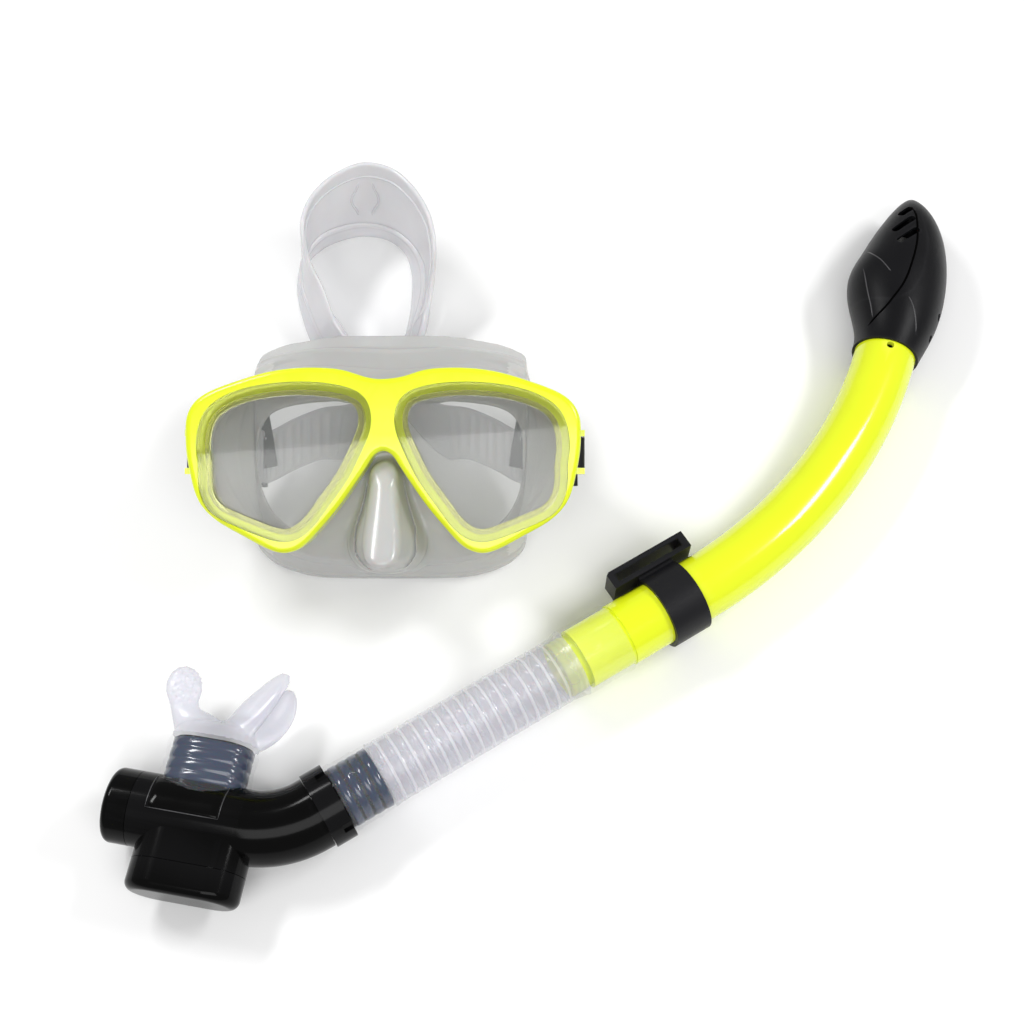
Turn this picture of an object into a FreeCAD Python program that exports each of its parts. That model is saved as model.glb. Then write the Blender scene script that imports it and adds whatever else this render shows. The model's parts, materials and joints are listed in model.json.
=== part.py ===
"""Diving mask with its snorkel, laid out on a table: mask at the back left, snorkel across the front.

Millimetres, +Z up, +X to the right, +Y away from the user.  The origin is the middle of the
overall box, at table level.
"""
import FreeCAD, Part
import math
import os

from FreeCAD import Placement, Rotation, Vector

doc = FreeCAD.newDocument("SnorkelSet")

# ---------------------------------------------------------------- driving dimensions
DRIVING_SIZES = {
    # where the mask lies on the table, and how far its lenses lean back
    "mask_x": -71.75, "mask_y": 2.7, "mask_height": 61.75, "mask_tilt": 26.0,
    # mask front
    "frame_front": 3.0, "frame_depth": 12.0, "frame_round": 2.2,
    "ring_front": 2.0, "ring_depth": 8.0, "ring_width": 5.0, "ring_gap": 0.1,
    "ring_seat_depth": 5.0, "ring_seat_width": 2.2,
    "lens_front": -1.2, "lens_thickness": 3.2, "lens_edge": 2.0,
    "nose_root": -26.0, "nose_bridge": -4.6, "nose_slope": 0.415,
    "web_front": -9.2, "web_thickness": 2.0, "web_edge": 1.0, "web_margin": 0.3,
    "silicone_wall": 1.8,
    # strap buckles
    "buckle_centre_x": 7.9, "buckle_centre_z": -1.5, "buckle_radius": 68.3, "buckle_thickness": 3.6,
    "buckle_width": 26.0, "buckle_start": 8.0, "buckle_end": 47.0,
    "hinge_middle": 2.5, "hinge_length": 12.0, "knuckle_radius": 2.8, "hinge_pin_radius": 1.2,
    "running_fit": 0.06, "ear_length": 2.4, "window_start": 30.0, "window_end": 43.5,
    "window_width": 23.0, "roller_angle": 36.8, "roller_radius": 2.3,
    "roller_pin_radius": 0.8, "lever_start": 20.0, "lever_end": 31.0, "lever_thickness": 2.4,
    "lever_width": 14.0, "lever_pin_radius": 0.8, "lever_gap": 1.3, "lug_radius": 2.2, "lug_length": 2.4,
    # strap
    "strap_y": 5.5, "strap_thickness": 2.4, "strap_width": 22.0,
    # snorkel
    "snorkel_x": 20.65, "snorkel_y": -53.9, "axis_height": 18.85, "snorkel_heading": 31.5,
    "tube_radius": 13.1, "tube_bore": 10.75, "tube_spigot_radius": 12.5, "tube_spigot_length": 19.6,
    "tube_straight": 36.3, "tube_bend_radius": 210.0, "tube_bend": 40.0, "tube_top": 16.8,
    "vent_hole_radius": 1.6, "vent_hole_back": 21.0,
    "flex_radius": 13.35, "flex_bore": 11.3, "flex_start": 126.0, "flex_end": 1.5,
    "cuff_radius": 14.25, "cuff_length": 21.0, "low_cuff_radius": 13.7, "low_cuff_length": 17.0,
    "keeper_bore": 13.3, "keeper_radius": 15.1, "keeper_start": 17.5, "keeper_length": 16.0,
    # lower chamber
    "chamber_turn": 41.5, "chamber_radius": 14.0, "chamber_bore": 11.6, "chamber_bend_radius": 36.0,
    "barrel_offset": 1.5, "barrel_start": -24.0, "barrel_bend_x": 17.4,
    "collar_radius": 15.0, "collar_length": 11.0,
    "spigot_radius": 11.9, "spigot_bore": 9.6, "spigot_length": 15.0,
    "cap_end": -34.0, "purge_width": 43.0, "purge_thick": 24.0, "purge_seam": -17.0,
    "purge_bottom": -28.5, "purge_middle": 0.8, "purge_wall": 2.0,
    "port_middle": -1.8, "port_width": 30.0, "port_thick": 20.0, "port_wall": 2.0, "port_end": 30.0,
    "neck_width": 35.0, "neck_thick": 25.0, "neck_start": 16.5, "neck_end": 36.0,
    # dry top
    "dry_wall": 2.0, "socket_bore": 13.16, "seat_bore": 7.5,
    "flap_open": 35.0,
}

sheet = doc.addObject("Spreadsheet::Sheet", "Sizes")
for row, (alias, number) in enumerate(DRIVING_SIZES.items(), start=1):
    sheet.set("A%d" % row, alias)
    sheet.set("B%d" % row, str(number))
    sheet.setAlias("B%d" % row, alias)
doc.recompute()


def size(alias):
    """A driving dimension, read from the sheet."""
    return float(sheet.get(alias))


PARTS = []


def sub_part(label, item, placement=None):
    """Give a finished sub-part its node name and its place on the table."""
    item.Label = label
    if placement is not None:
        item.Placement = placement.multiply(item.Placement)
    PARTS.append(item)
    return item


# ---------------------------------------------------------------- small building tools
AXIS_X = Vector(1, 0, 0)
AXIS_Y = Vector(0, 1, 0)
AXIS_Z = Vector(0, 0, 1)
TURN_X_AXIS = Rotation(AXIS_Y, 90)       # a primitive's own axis laid along +X
TURN_Y_AXIS = Rotation(AXIS_X, -90)      # a primitive's own axis laid along +Y


def primitive(kind, name, placement, **sizes):
    """A Part primitive whose sizes are expressions of the sheet."""
    item = doc.addObject("Part::" + kind, name)
    for prop, expression in sizes.items():
        item.setExpression(prop, expression)
    item.Placement = placement
    return item


def cylinder(name, place, rotation, radius, length):
    return primitive("Cylinder", name, Placement(Vector(*place), rotation), Radius=radius, Height=length)


def box(name, place, length, width, height, rotation=Rotation()):
    return primitive("Box", name, Placement(Vector(*place), rotation),
                     Length=length, Width=width, Height=height)


def cut(name, base, tool):
    item = doc.addObject("Part::Cut", name)
    item.Base = base
    item.Tool = tool
    return item


def fuse(name, items):
    item = doc.addObject("Part::MultiFuse", name)
    item.Shapes = items
    return item


def solid(name, shape):
    """A shape made with Part's own functions, kept as a document object."""
    item = doc.addObject("Part::Feature", name)
    item.Shape = shape
    return item


def mirrored(name, source):
    """The other side's piece: its twin across the mask's middle plane."""
    item = doc.addObject("Part::Mirroring", name)
    item.Source = source
    item.Base = Vector(size("mask_x"), 0, 0)
    item.Normal = AXIS_X
    return item


def both_halves(half):
    """A closed outline from its left half, which runs from the top middle to the bottom middle."""
    other = [(-point[0],) + tuple(point[1:]) for point in reversed(half) if abs(point[0]) > 0.01]
    return half + other


def grown(outline, distance):
    """The outline moved outward by a distance (inward where it is negative); its depth is kept."""
    count = len(outline)
    area = sum(outline[i - 1][0] * outline[i][1] - outline[i][0] * outline[i - 1][1] for i in range(count))
    side = 1.0 if area > 0 else -1.0
    moved = []
    for i, point in enumerate(outline):
        before, after = outline[i - 1], outline[(i + 1) % count]
        along_x, along_y = after[0] - before[0], after[1] - before[1]
        length = math.hypot(along_x, along_y)
        shift_x, shift_y = side * along_y / length * distance, -side * along_x / length * distance
        moved.append((point[0] + shift_x, point[1] + shift_y) + tuple(point[2:]))
    return moved


def deeper(outline, distance):
    return [(x, y, z - distance) for x, y, z in outline]


def closed_curve(outline, depth=0.0):
    """One smooth closed curve through the outline's points."""
    points = [Vector(p[0], p[1], p[2] if len(p) > 2 else depth) for p in outline]
    curve = Part.BSplineCurve()
    curve.interpolate(points, PeriodicFlag=True)
    return curve


def closed_wire(outline, depth=0.0):
    return Part.Wire([closed_curve(outline, depth).toShape()])


def closed_solid(faces):
    """The solid that a closed set of faces bounds, turned right side out."""
    sewn = Part.Compound(faces)
    sewn.sewShape()
    shell = Part.Shell(sewn.Faces)
    made = Part.Solid(shell)
    if made.Volume < 0:
        shell.reverse()
        made = Part.Solid(shell)
    return made


def sketch_on(body, name, role, curves, offset=0.0):
    """A sketch of closed curves on one of the body's own origin planes."""
    sketch = body.newObject("Sketcher::SketchObject", name)
    plane = next(feature for feature in body.Origin.OriginFeatures if feature.Role == role)
    sketch.AttachmentSupport = (plane, [""])
    sketch.MapMode = "FlatFace"
    sketch.AttachmentOffset = Placement(Vector(0, 0, offset), Rotation())
    for curve in curves:
        sketch.addGeometry(curve)
    return sketch


def pad(body, name, curves, front, length):
    """Pad an outline backward from its front plane."""
    feature = body.newObject("PartDesign::Pad", name)
    feature.Profile = sketch_on(body, name + "_outline", "XY_Plane", curves, front)
    feature.setExpression("Length", length)
    feature.Reversed = True
    return feature


def pocket(body, name, curves, front, length=None):
    """Cut an outline backward from its front plane, right through unless a length is given."""
    volume_before = body.Shape.Volume
    feature = body.newObject("PartDesign::Pocket", name)
    feature.Profile = sketch_on(body, name + "_outline", "XY_Plane", curves, front)
    if length is None:
        feature.Type = "ThroughAll"
    else:
        feature.setExpression("Length", length)
    doc.recompute()
    if not body.Shape.Volume < volume_before - 1.0:
        raise RuntimeError(name + " cut nothing")
    return feature


# ---------------------------------------------------------------- the mask's own frame
MASK_PLACE = Placement(Vector(size("mask_x"), size("mask_y"), size("mask_height")),
                       Rotation(AXIS_X, size("mask_tilt")))

FRAME_HALF = [
    (0.0, 30.5), (-7.9, 31.6), (-14.6, 33.7), (-23.6, 34.8), (-34.8, 34.6), (-46.0, 32.8), (-57.2, 29.4),
    (-66.2, 26.0), (-72.4, 21.9), (-75.6, 16.5), (-76.3, 10.0), (-75.9, 2.0), (-74.4, -6.5), (-71.0, -17.0),
    (-65.1, -23.6), (-54.0, -30.2), (-45.0, -35.0), (-38.7, -36.8), (-32.5, -35.2), (-25.5, -28.8),
    (-17.0, -18.7), (-10.3, -9.2), (-5.6, -2.0), (-3.0, 1.4), (0.0, 2.6)]
LENS_OPENING = [
    (-66.4, 0.0), (-66.3, 9.5), (-64.0, 15.2), (-57.5, 19.8), (-46.0, 23.0), (-30.0, 24.1), (-17.5, 22.7),
    (-11.0, 19.8), (-9.5, 14.6), (-12.4, 5.2), (-18.0, -6.0), (-25.8, -17.0), (-32.2, -24.9), (-37.4, -27.4),
    (-43.5, -26.2), (-56.0, -21.2), (-63.4, -16.8), (-66.0, -9.5)]


def mask_frame():
    """Rigid yellow front, with the two lens holes and an ear each side of both buckle knuckles."""
    body = doc.addObject("PartDesign::Body", "FrameFront")
    front = pad(body, "FramePad", [closed_curve(both_halves(FRAME_HALF))], size("frame_front"),
                "Sizes.frame_depth")
    doc.recompute()
    rounding = body.newObject("PartDesign::Fillet", "FrontRounding")
    front_edge = next("Edge%d" % number for number, edge in enumerate(body.Shape.Edges, start=1)
                      if edge.BoundBox.ZMin > size("frame_front") - 0.01)
    rounding.Base = (front, [front_edge])
    rounding.setExpression("Radius", "Sizes.frame_round")
    body.Tip = rounding
    doc.recompute()
    for name, margin, depth in (("RingSeats", size("ring_width") + size("ring_gap"),
                                 "Sizes.frame_front - Sizes.ring_front + Sizes.ring_depth + Sizes.ring_gap"),
                                ("LensHoles", size("ring_seat_width") + size("ring_gap"), None)):
        hole = grown(LENS_OPENING, margin)
        other_hole = [(-x, y) for x, y in hole]
        pocket(body, name, [closed_curve(hole), closed_curve(other_hole)], size("frame_front"), depth)

    hinge_turn = math.radians(size("buckle_start"))
    hinge_x = size("buckle_centre_x") + size("buckle_radius") * math.cos(hinge_turn)
    hinge_z = size("buckle_centre_z") - size("buckle_radius") * math.sin(hinge_turn)
    low = size("hinge_middle") - size("hinge_length") / 2
    gap = 0.2
    ears, cuts = [], []
    for word, side in (("Left", -1), ("Right", 1)):
        x = side * hinge_x
        low_ear, high_ear = low - gap - size("ear_length"), low + size("hinge_length") + gap
        for step, y in (("Low", low_ear), ("High", high_ear)):
            ears.append(cylinder("Ear%s%s" % (word, step), (x, y, hinge_z), TURN_Y_AXIS,
                                 "Sizes.knuckle_radius", "Sizes.ear_length"))
            ears.append(box("EarRoot%s%s" % (word, step), (x - 2.6, y, hinge_z),
                            "5.2", "Sizes.ear_length", "5"))
        cuts.append(cylinder("KnuckleRoom" + word, (x, low - gap, hinge_z), TURN_Y_AXIS,
                             "Sizes.knuckle_radius + 0.5", "Sizes.hinge_length + 0.4"))
        cuts.append(cylinder("PinBore" + word, (x, low - 4, hinge_z), TURN_Y_AXIS,
                             "Sizes.hinge_pin_radius + Sizes.running_fit", "Sizes.hinge_length + 8"))
    with_ears = fuse("FrameWithEars", [body] + ears)
    sub_part("mask_frame", cut("Frame", with_ears, fuse("FrameCuts", cuts)), MASK_PLACE)


def lens_and_ring():
    """Clear retaining ring with a stepped seat, and the lens that drops into it from behind."""
    ring = doc.addObject("PartDesign::Body", "RingLeft")
    pad(ring, "RingPad", [closed_curve(grown(LENS_OPENING, size("ring_width")))], size("ring_front"),
        "Sizes.ring_depth")
    doc.recompute()
    pocket(ring, "RingOpening", [closed_curve(LENS_OPENING)], size("ring_front"))
    seat_top = size("ring_front") - size("ring_depth") + size("ring_seat_depth")
    pocket(ring, "LensSeat", [closed_curve(grown(LENS_OPENING, size("ring_seat_width")))], seat_top,
           "Sizes.ring_seat_depth + 1")
    sub_part("lens_ring_left", ring, MASK_PLACE)
    lens = doc.addObject("PartDesign::Body", "LensLeft")
    pad(lens, "LensPad", [closed_curve(grown(LENS_OPENING, size("lens_edge")))], size("lens_front"),
        "Sizes.lens_thickness")
    sub_part("lens_left", lens, MASK_PLACE)
    sub_part("lens_ring_right", mirrored("RingRight", ring))
    sub_part("lens_right", mirrored("LensRight", lens))


# the skirt's cross sections, from the web behind the frame back to the sealing edge on the face
SKIRT_FRONT = [
    (0.0, 25.5), (-16.0, 29.0), (-34.0, 30.2), (-58.0, 25.0), (-71.0, 12.0), (-71.0, -6.0),
    (-62.0, -21.0), (-40.0, -32.5), (-33.0, -29.0), (-20.5, -14.5), (-8.0, 0.0), (0.0, 5.0)]
SKIRT_WAIST = [
    (0.0, 33.0, -22.0), (-16.0, 34.5, -22.0), (-34.0, 35.0, -22.0), (-56.0, 28.0, -22.0),
    (-64.0, 12.0, -22.0), (-63.0, -7.0, -22.0), (-56.0, -23.0, -22.0), (-43.0, -34.0, -22.0),
    (-33.0, -38.3, -22.0), (-20.0, -40.0, -22.0), (-9.0, -40.4, -22.0), (0.0, -40.5, -22.0)]
SKIRT_EDGE = [
    (0.0, 54.0, -50.0), (-16.0, 53.8, -50.0), (-36.0, 51.5, -49.0), (-54.0, 41.0, -46.0),
    (-57.0, 24.0, -41.0), (-54.5, 0.0, -39.0), (-54.0, -20.0, -40.5), (-49.0, -38.5, -43.5),
    (-38.0, -46.5, -44.5), (-24.0, -48.8, -44.7), (-10.0, -49.0, -44.7), (0.0, -49.0, -44.7)]
FACE_OPENING = [
    (0.0, 24.0, -40.0), (-16.0, 24.6, -40.0), (-33.0, 24.8, -39.0), (-45.0, 20.0, -37.0),
    (-50.0, 9.0, -35.0), (-50.0, -4.0, -35.0), (-47.5, -15.0, -36.0), (-42.0, -25.5, -37.5),
    (-34.0, -32.0, -38.3), (-22.0, -35.8, -39.0), (-10.0, -38.0, -39.0), (0.0, -38.5, -39.0)]
NOSE_ROOT = [
    (0.0, 3.0), (-6.0, 0.0), (-12.0, -14.0), (-17.0, -28.0), (-18.0, -37.0), (-12.5, -44.0), (0.0, -46.0)]
NOSE_RIDGE = [
    (0.0, -1.5), (-3.6, -3.5), (-5.2, -14.0), (-6.4, -27.0), (-6.6, -35.0), (-4.6, -40.0), (0.0, -41.5)]


def nose_pocket(inset):
    """The nose pocket as a full solid, its walls moved inward by the inset."""
    root = closed_wire(grown(both_halves(NOSE_ROOT), -inset), size("nose_root"))
    front = size("nose_bridge") - inset
    ridge = [(x, y, front - size("nose_slope") * y) for x, y in grown(both_halves(NOSE_RIDGE), -inset)]
    return Part.makeLoft([root, closed_wire(ridge)], True, True)


def skirt():
    """Silicone skirt: lens web, side wall, face flange and hollow nose pocket in one moulding."""
    wall = size("silicone_wall")
    back_of_web = size("web_front") - size("web_thickness")
    front = [(x, y, back_of_web + wall / 2) for x, y in both_halves(SKIRT_FRONT)]
    waist, edge, opening = both_halves(SKIRT_WAIST), both_halves(SKIRT_EDGE), both_halves(FACE_OPENING)
    loops = [front, waist, edge, opening, deeper(opening, -wall), deeper(grown(edge, -2.6), -wall),
             deeper(grown(waist, -wall), wall), deeper(grown(front, -wall), wall)]
    wires = [closed_wire(loop) for loop in loops]
    faces = []
    for first, second in zip(wires, wires[1:] + wires[:1]):
        faces.extend(Part.makeLoft([first, second], False, True).Faces)
    wall_solid = closed_solid(faces)

    holes = grown(LENS_OPENING, size("web_edge"))
    other_holes = [(-x, y) for x, y in holes]
    web_outline = grown(both_halves(SKIRT_FRONT), -size("web_margin"))
    web_face = Part.Face(closed_wire(web_outline, size("web_front")))
    web = web_face.extrude(Vector(0, 0, -size("web_thickness")))
    for outline in (holes, other_holes):
        window = Part.Face(closed_wire(outline, size("web_front") + 1)).extrude(Vector(0, 0, -6))
        web = web.cut(window)

    pocket_outside, pocket_inside = nose_pocket(0.0), nose_pocket(wall)
    moulding = wall_solid.fuse([web, pocket_outside]).cut(pocket_inside)
    sub_part("skirt", solid("Skirt", moulding), MASK_PLACE)


# ---------------------------------------------------------------- strap buckles
BUCKLE_X = -size("buckle_centre_x")
BUCKLE_Z = size("buckle_centre_z")


def on_arc(angle, radius):
    """A point of the left buckle's arc, as (x, z) in the mask's frame."""
    turn = math.radians(angle)
    return BUCKLE_X - radius * math.cos(turn), BUCKLE_Z - radius * math.sin(turn)


def arc_plate(name, inner, outer, start, end, low, width):
    """A curved plate about the buckle's centre, between two angles."""
    facing = Rotation(Vector(0, -1, 0), start) * Rotation(AXIS_Y, 180) * Rotation(AXIS_X, 90)
    place = Placement(Vector(BUCKLE_X, low + float(width), BUCKLE_Z), facing)
    whole = primitive("Cylinder", name + "Whole", place, Radius=str(outer), Height=str(width),
                      Angle=str(end - start))
    middle = primitive("Cylinder", name + "Middle", place, Radius=str(inner), Height=str(width),
                       Angle=str(end - start))
    return cut(name, whole, middle)


def side_pair(left_item, label):
    """Name a left-hand piece and add its twin on the right."""
    sub_part(label + "_left", left_item, MASK_PLACE)
    sub_part(label + "_right", mirrored(left_item.Name + "Right", left_item))


def buckles():
    """Swinging strap buckle, its hinge pin, the ribbed strap roller and the release lever."""
    radius, half = size("buckle_radius"), size("buckle_thickness") / 2
    middle, width = size("hinge_middle"), size("buckle_width")
    low = middle - width / 2
    hinge_low = middle - size("hinge_length") / 2
    hinge_x, hinge_z = on_arc(size("buckle_start"), radius)
    window_low = middle - size("window_width") / 2

    arm = arc_plate("BuckleArm", radius - half, radius + half, 14.0, size("buckle_end"), low, width)
    neck = arc_plate("BuckleNeck", radius - half, radius + half, size("buckle_start"), 14.5, hinge_low,
                     size("hinge_length"))
    knuckle = cylinder("BuckleKnuckle", (hinge_x, hinge_low, hinge_z), TURN_Y_AXIS,
                       "Sizes.knuckle_radius", "Sizes.hinge_length")
    window = arc_plate("BuckleWindow", radius - 6, radius + 6, size("window_start"), size("window_end"),
                       window_low, size("window_width"))
    pin_bore = cylinder("BuckleBore", (hinge_x, hinge_low - 1, hinge_z), TURN_Y_AXIS,
                        "Sizes.hinge_pin_radius + Sizes.running_fit", "Sizes.hinge_length + 2")
    roller_x, roller_z = on_arc(size("roller_angle"), radius)
    roller_bore = cylinder("RollerBore", (roller_x, low + 0.8, roller_z), TURN_Y_AXIS,
                           "Sizes.roller_pin_radius + Sizes.running_fit", "Sizes.buckle_width - 1.6")
    lever_angle, lug_spread = (size("lever_start") + size("lever_end")) / 2, 1.9
    lever_x, lever_z = on_arc(lever_angle, radius + half + size("lever_gap") + size("lever_thickness") / 2)
    lever_low = middle - size("lever_width") / 2
    lugs = []
    lug_play = 0.3
    low_lug, high_lug = lever_low - size("lug_length") - lug_play, lever_low + size("lever_width") + lug_play
    for word, y in (("Low", low_lug), ("High", high_lug)):
        lugs.append(cylinder("LeverLug" + word, (lever_x, y, lever_z), TURN_Y_AXIS, "Sizes.lug_radius",
                             "Sizes.lug_length"))
        lugs.append(arc_plate("LeverLugRoot" + word, radius, radius + half + size("lever_gap") + 1.2,
                              lever_angle - lug_spread, lever_angle + lug_spread, y, size("lug_length")))
    lever_bore = cylinder("LeverBore", (lever_x, low, lever_z), TURN_Y_AXIS,
                          "Sizes.lever_pin_radius + Sizes.running_fit", "Sizes.buckle_width")
    whole = fuse("BuckleWhole", [arm, neck, knuckle] + lugs)
    openings = fuse("BuckleCuts", [window, pin_bore, roller_bore, lever_bore])
    side_pair(cut("Buckle", whole, openings), "buckle")

    pin_low = hinge_low - size("ear_length") - 0.2
    pin = cylinder("HingePin", (hinge_x, pin_low, hinge_z), TURN_Y_AXIS, "Sizes.hinge_pin_radius",
                   "Sizes.hinge_length + 2 * Sizes.ear_length + 0.4")
    side_pair(pin, "hinge_pin")

    barrel = cylinder("RollerBarrel", (roller_x, window_low + 0.3, roller_z), TURN_Y_AXIS,
                      "Sizes.roller_radius", "Sizes.window_width - 0.6")
    spindle = cylinder("RollerSpindle", (roller_x, low + 1.0, roller_z), TURN_Y_AXIS,
                       "Sizes.roller_pin_radius", "Sizes.buckle_width - 2")
    side_pair(fuse("Roller", [barrel, spindle]), "strap_roller")

    lever_inner = radius + half + size("lever_gap")
    plate = arc_plate("LeverPlate", lever_inner, lever_inner + size("lever_thickness"),
                      size("lever_start"), size("lever_end"), lever_low, size("lever_width"))
    lever_hole = cylinder("LeverHole", (lever_x, lever_low - 1, lever_z), TURN_Y_AXIS,
                          "Sizes.lever_pin_radius + Sizes.running_fit", "Sizes.lever_width + 2")
    side_pair(cut("Lever", plate, lever_hole), "release_lever")
    lever_pin = cylinder("LeverPin", (lever_x, low_lug, lever_z), TURN_Y_AXIS, "Sizes.lever_pin_radius",
                         str(high_lug + size("lug_length") - low_lug))
    side_pair(lever_pin, "lever_pin")


# ---------------------------------------------------------------- strap
def on_table(point):
    """A point of the mask's frame, seen from the table."""
    return MASK_PLACE.multVec(Vector(*point))


def ribbon(rims, thickness):
    """A flat band between its two rims, given as pairs of (lower point, upper point)."""
    middles = [(low + top) * 0.5 for low, top in rims]
    wires = []
    for number, (low, top) in enumerate(rims):
        before, after = middles[max(number - 1, 0)], middles[min(number + 1, len(rims) - 1)]
        through = (after - before).cross(top - low).normalize() * (thickness / 2)
        wires.append(Part.makePolygon([low - through, top - through, top + through, low + through,
                                       low - through]))
    return Part.makeLoft(wires, True, True)


# rims of the strap, measured from the middle of the mask's place on the table, lower rim first
LEFT_LEG = [
    ((-23.5, 28.0, 4.0), (-18.5, 48.0, 17.5)), ((-16.5, 42.0, 1.6), (-11.8, 57.0, 20.0)),
    ((-16.0, 55.0, 1.0), (-11.0, 64.0, 21.0)), ((-23.0, 66.0, 0.9), (-15.5, 71.0, 21.0)),
    ((-33.0, 78.0, 0.9), (-22.5, 79.5, 20.8)), ((-40.5, 89.0, 0.9), (-29.0, 90.0, 21.5))]
RIGHT_LEG = [
    ((21.5, 28.0, 4.0), (17.0, 48.0, 17.5)), ((9.5, 42.0, 1.6), (6.0, 56.0, 20.0)),
    ((1.0, 55.0, 1.0), (-0.5, 61.5, 21.0)), ((-0.8, 68.0, 0.9), (4.0, 68.0, 21.0)),
    ((0.8, 81.0, 0.9), (10.5, 80.0, 21.2)), ((2.2, 94.0, 0.9), (13.2, 94.0, 23.0))]
UPPER_BAND = [
    ((-31.5, 80.0, 8.5), (-24.2, 81.0, 20.6)), ((-36.5, 89.5, 10.5), (-29.4, 90.5, 21.8)),
    ((-41.0, 101.0, 12.0), (-34.0, 101.0, 27.5)), ((-44.0, 112.0, 13.0), (-39.5, 110.0, 36.0)),
    ((-45.0, 124.0, 13.5), (-41.4, 120.0, 46.0)), ((-42.0, 136.0, 13.5), (-38.8, 133.5, 47.0)),
    ((-33.5, 143.8, 13.0), (-30.5, 145.5, 47.0)), ((-20.6, 147.2, 12.6), (-17.5, 153.4, 47.0)),
    ((-7.5, 145.0, 12.6), (-4.5, 150.8, 47.0)), ((2.6, 137.0, 13.0), (5.5, 140.8, 47.0)),
    ((9.5, 125.5, 13.2), (13.4, 125.5, 47.0)), ((11.6, 113.5, 12.6), (16.0, 112.0, 42.0)),
    ((10.6, 103.0, 11.8), (15.0, 102.5, 30.5)), ((7.8, 93.5, 10.8), (13.2, 93.5, 23.2)),
    ((5.6, 82.5, 9.5), (10.8, 82.0, 21.2))]
LOWER_BAND = [
    ((-34.0, 79.0, 0.8), (-30.0, 80.0, 9.0)), ((-40.8, 89.5, 0.8), (-35.6, 90.0, 10.2)),
    ((-45.6, 103.5, 0.8), (-40.6, 101.5, 11.6)), ((-48.3, 118.0, 0.8), (-45.4, 115.0, 12.4)),
    ((-47.0, 131.5, 0.8), (-44.6, 129.5, 12.8)), ((-40.0, 141.0, 0.8), (-38.6, 140.0, 12.8)),
    ((-30.5, 146.5, 0.8), (-29.8, 145.0, 12.8)), ((-19.8, 149.0, 0.8), (-19.6, 147.2, 12.8)),
    ((-8.0, 146.5, 0.8), (-7.4, 144.8, 12.8)), ((0.4, 138.5, 0.8), (2.4, 137.0, 13.0)),
    ((4.0, 126.0, 0.8), (9.0, 125.5, 13.0)), ((4.4, 113.0, 0.8), (10.8, 113.0, 12.4)),
    ((3.8, 102.5, 0.8), (9.4, 102.5, 11.6)), ((2.4, 93.0, 0.8), (7.0, 93.0, 10.6)),
    ((1.0, 82.0, 0.8), (5.0, 82.0, 9.2))]


def table_rims(rims):
    shift = Vector(size("mask_x"), size("strap_y"), 0)
    return [tuple(Vector(*point) + shift for point in pair) for pair in rims]


def strap_tail(side):
    """The ribbed tail: from inside its buckle's roller to behind the face opening."""
    reach = MASK_PLACE.Rotation.multVec(AXIS_Y) * (size("strap_width") / 2)
    inside = size("buckle_radius") - size("roller_radius") - size("strap_thickness") / 2 - 0.35
    middles = []
    for angle, away in ((33.5, inside + 0.2), (37.0, inside), (42.0, inside), (47.0, inside - 0.3)):
        x, z = on_arc(angle, away)
        middles.append(on_table((-side * x, size("hinge_middle"), z)))
    middles.append(on_table((side * 42.0, 4.0, -53.0)))
    middles.append(on_table((side * 31.0, 6.0, -56.5)))
    return [(middle - reach, middle + reach) for middle in middles]


def strap():
    """One silicone moulding: ribbed tails, two legs and a head band split in two."""
    thickness = size("strap_thickness")
    left = ribbon(strap_tail(-1) + table_rims(LEFT_LEG), thickness)
    right = ribbon(strap_tail(1) + table_rims(RIGHT_LEG), thickness)
    upper = ribbon(table_rims(UPPER_BAND), thickness + 0.3)
    lower = ribbon(table_rims(LOWER_BAND), thickness + 0.15)
    sub_part("strap", solid("Strap", left.fuse([right, upper, lower])))


# ---------------------------------------------------------------- snorkel tube
SNORKEL_PLACE = Placement(Vector(size("snorkel_x"), size("snorkel_y"), size("axis_height")),
                          Rotation(AXIS_Z, size("snorkel_heading")))
BEND_START = size("tube_straight")
BEND_TURN = math.radians(size("tube_bend"))
DRY_X = BEND_START + size("tube_bend_radius") * math.sin(BEND_TURN)
DRY_Y = size("tube_bend_radius") * (1 - math.cos(BEND_TURN))
DRY_PLACE = SNORKEL_PLACE.multiply(Placement(Vector(DRY_X, DRY_Y, 0), Rotation(AXIS_Z, size("tube_bend"))))


def bent_rod(name, radius, start, end):
    """A rod along the breathing tube's line: straight, one long arc, then straight into the dry top."""
    bend = size("tube_bend_radius")
    half = BEND_TURN / 2
    arc_middle = Vector(BEND_START + bend * math.sin(half), bend * (1 - math.cos(half)), 0)
    arc_end = Vector(DRY_X, DRY_Y, 0)
    direction = Vector(math.cos(BEND_TURN), math.sin(BEND_TURN), 0)
    edges = [Part.LineSegment(Vector(start, 0, 0), Vector(BEND_START, 0, 0)).toShape(),
             Part.Arc(Vector(BEND_START, 0, 0), arc_middle, arc_end).toShape(),
             Part.LineSegment(arc_end, arc_end + direction * end).toShape()]
    circle = Part.Wire([Part.Circle(Vector(start, 0, 0), AXIS_X, radius).toShape()])
    return solid(name, Part.Wire(edges).makePipeShell([circle], True, False))


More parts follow.
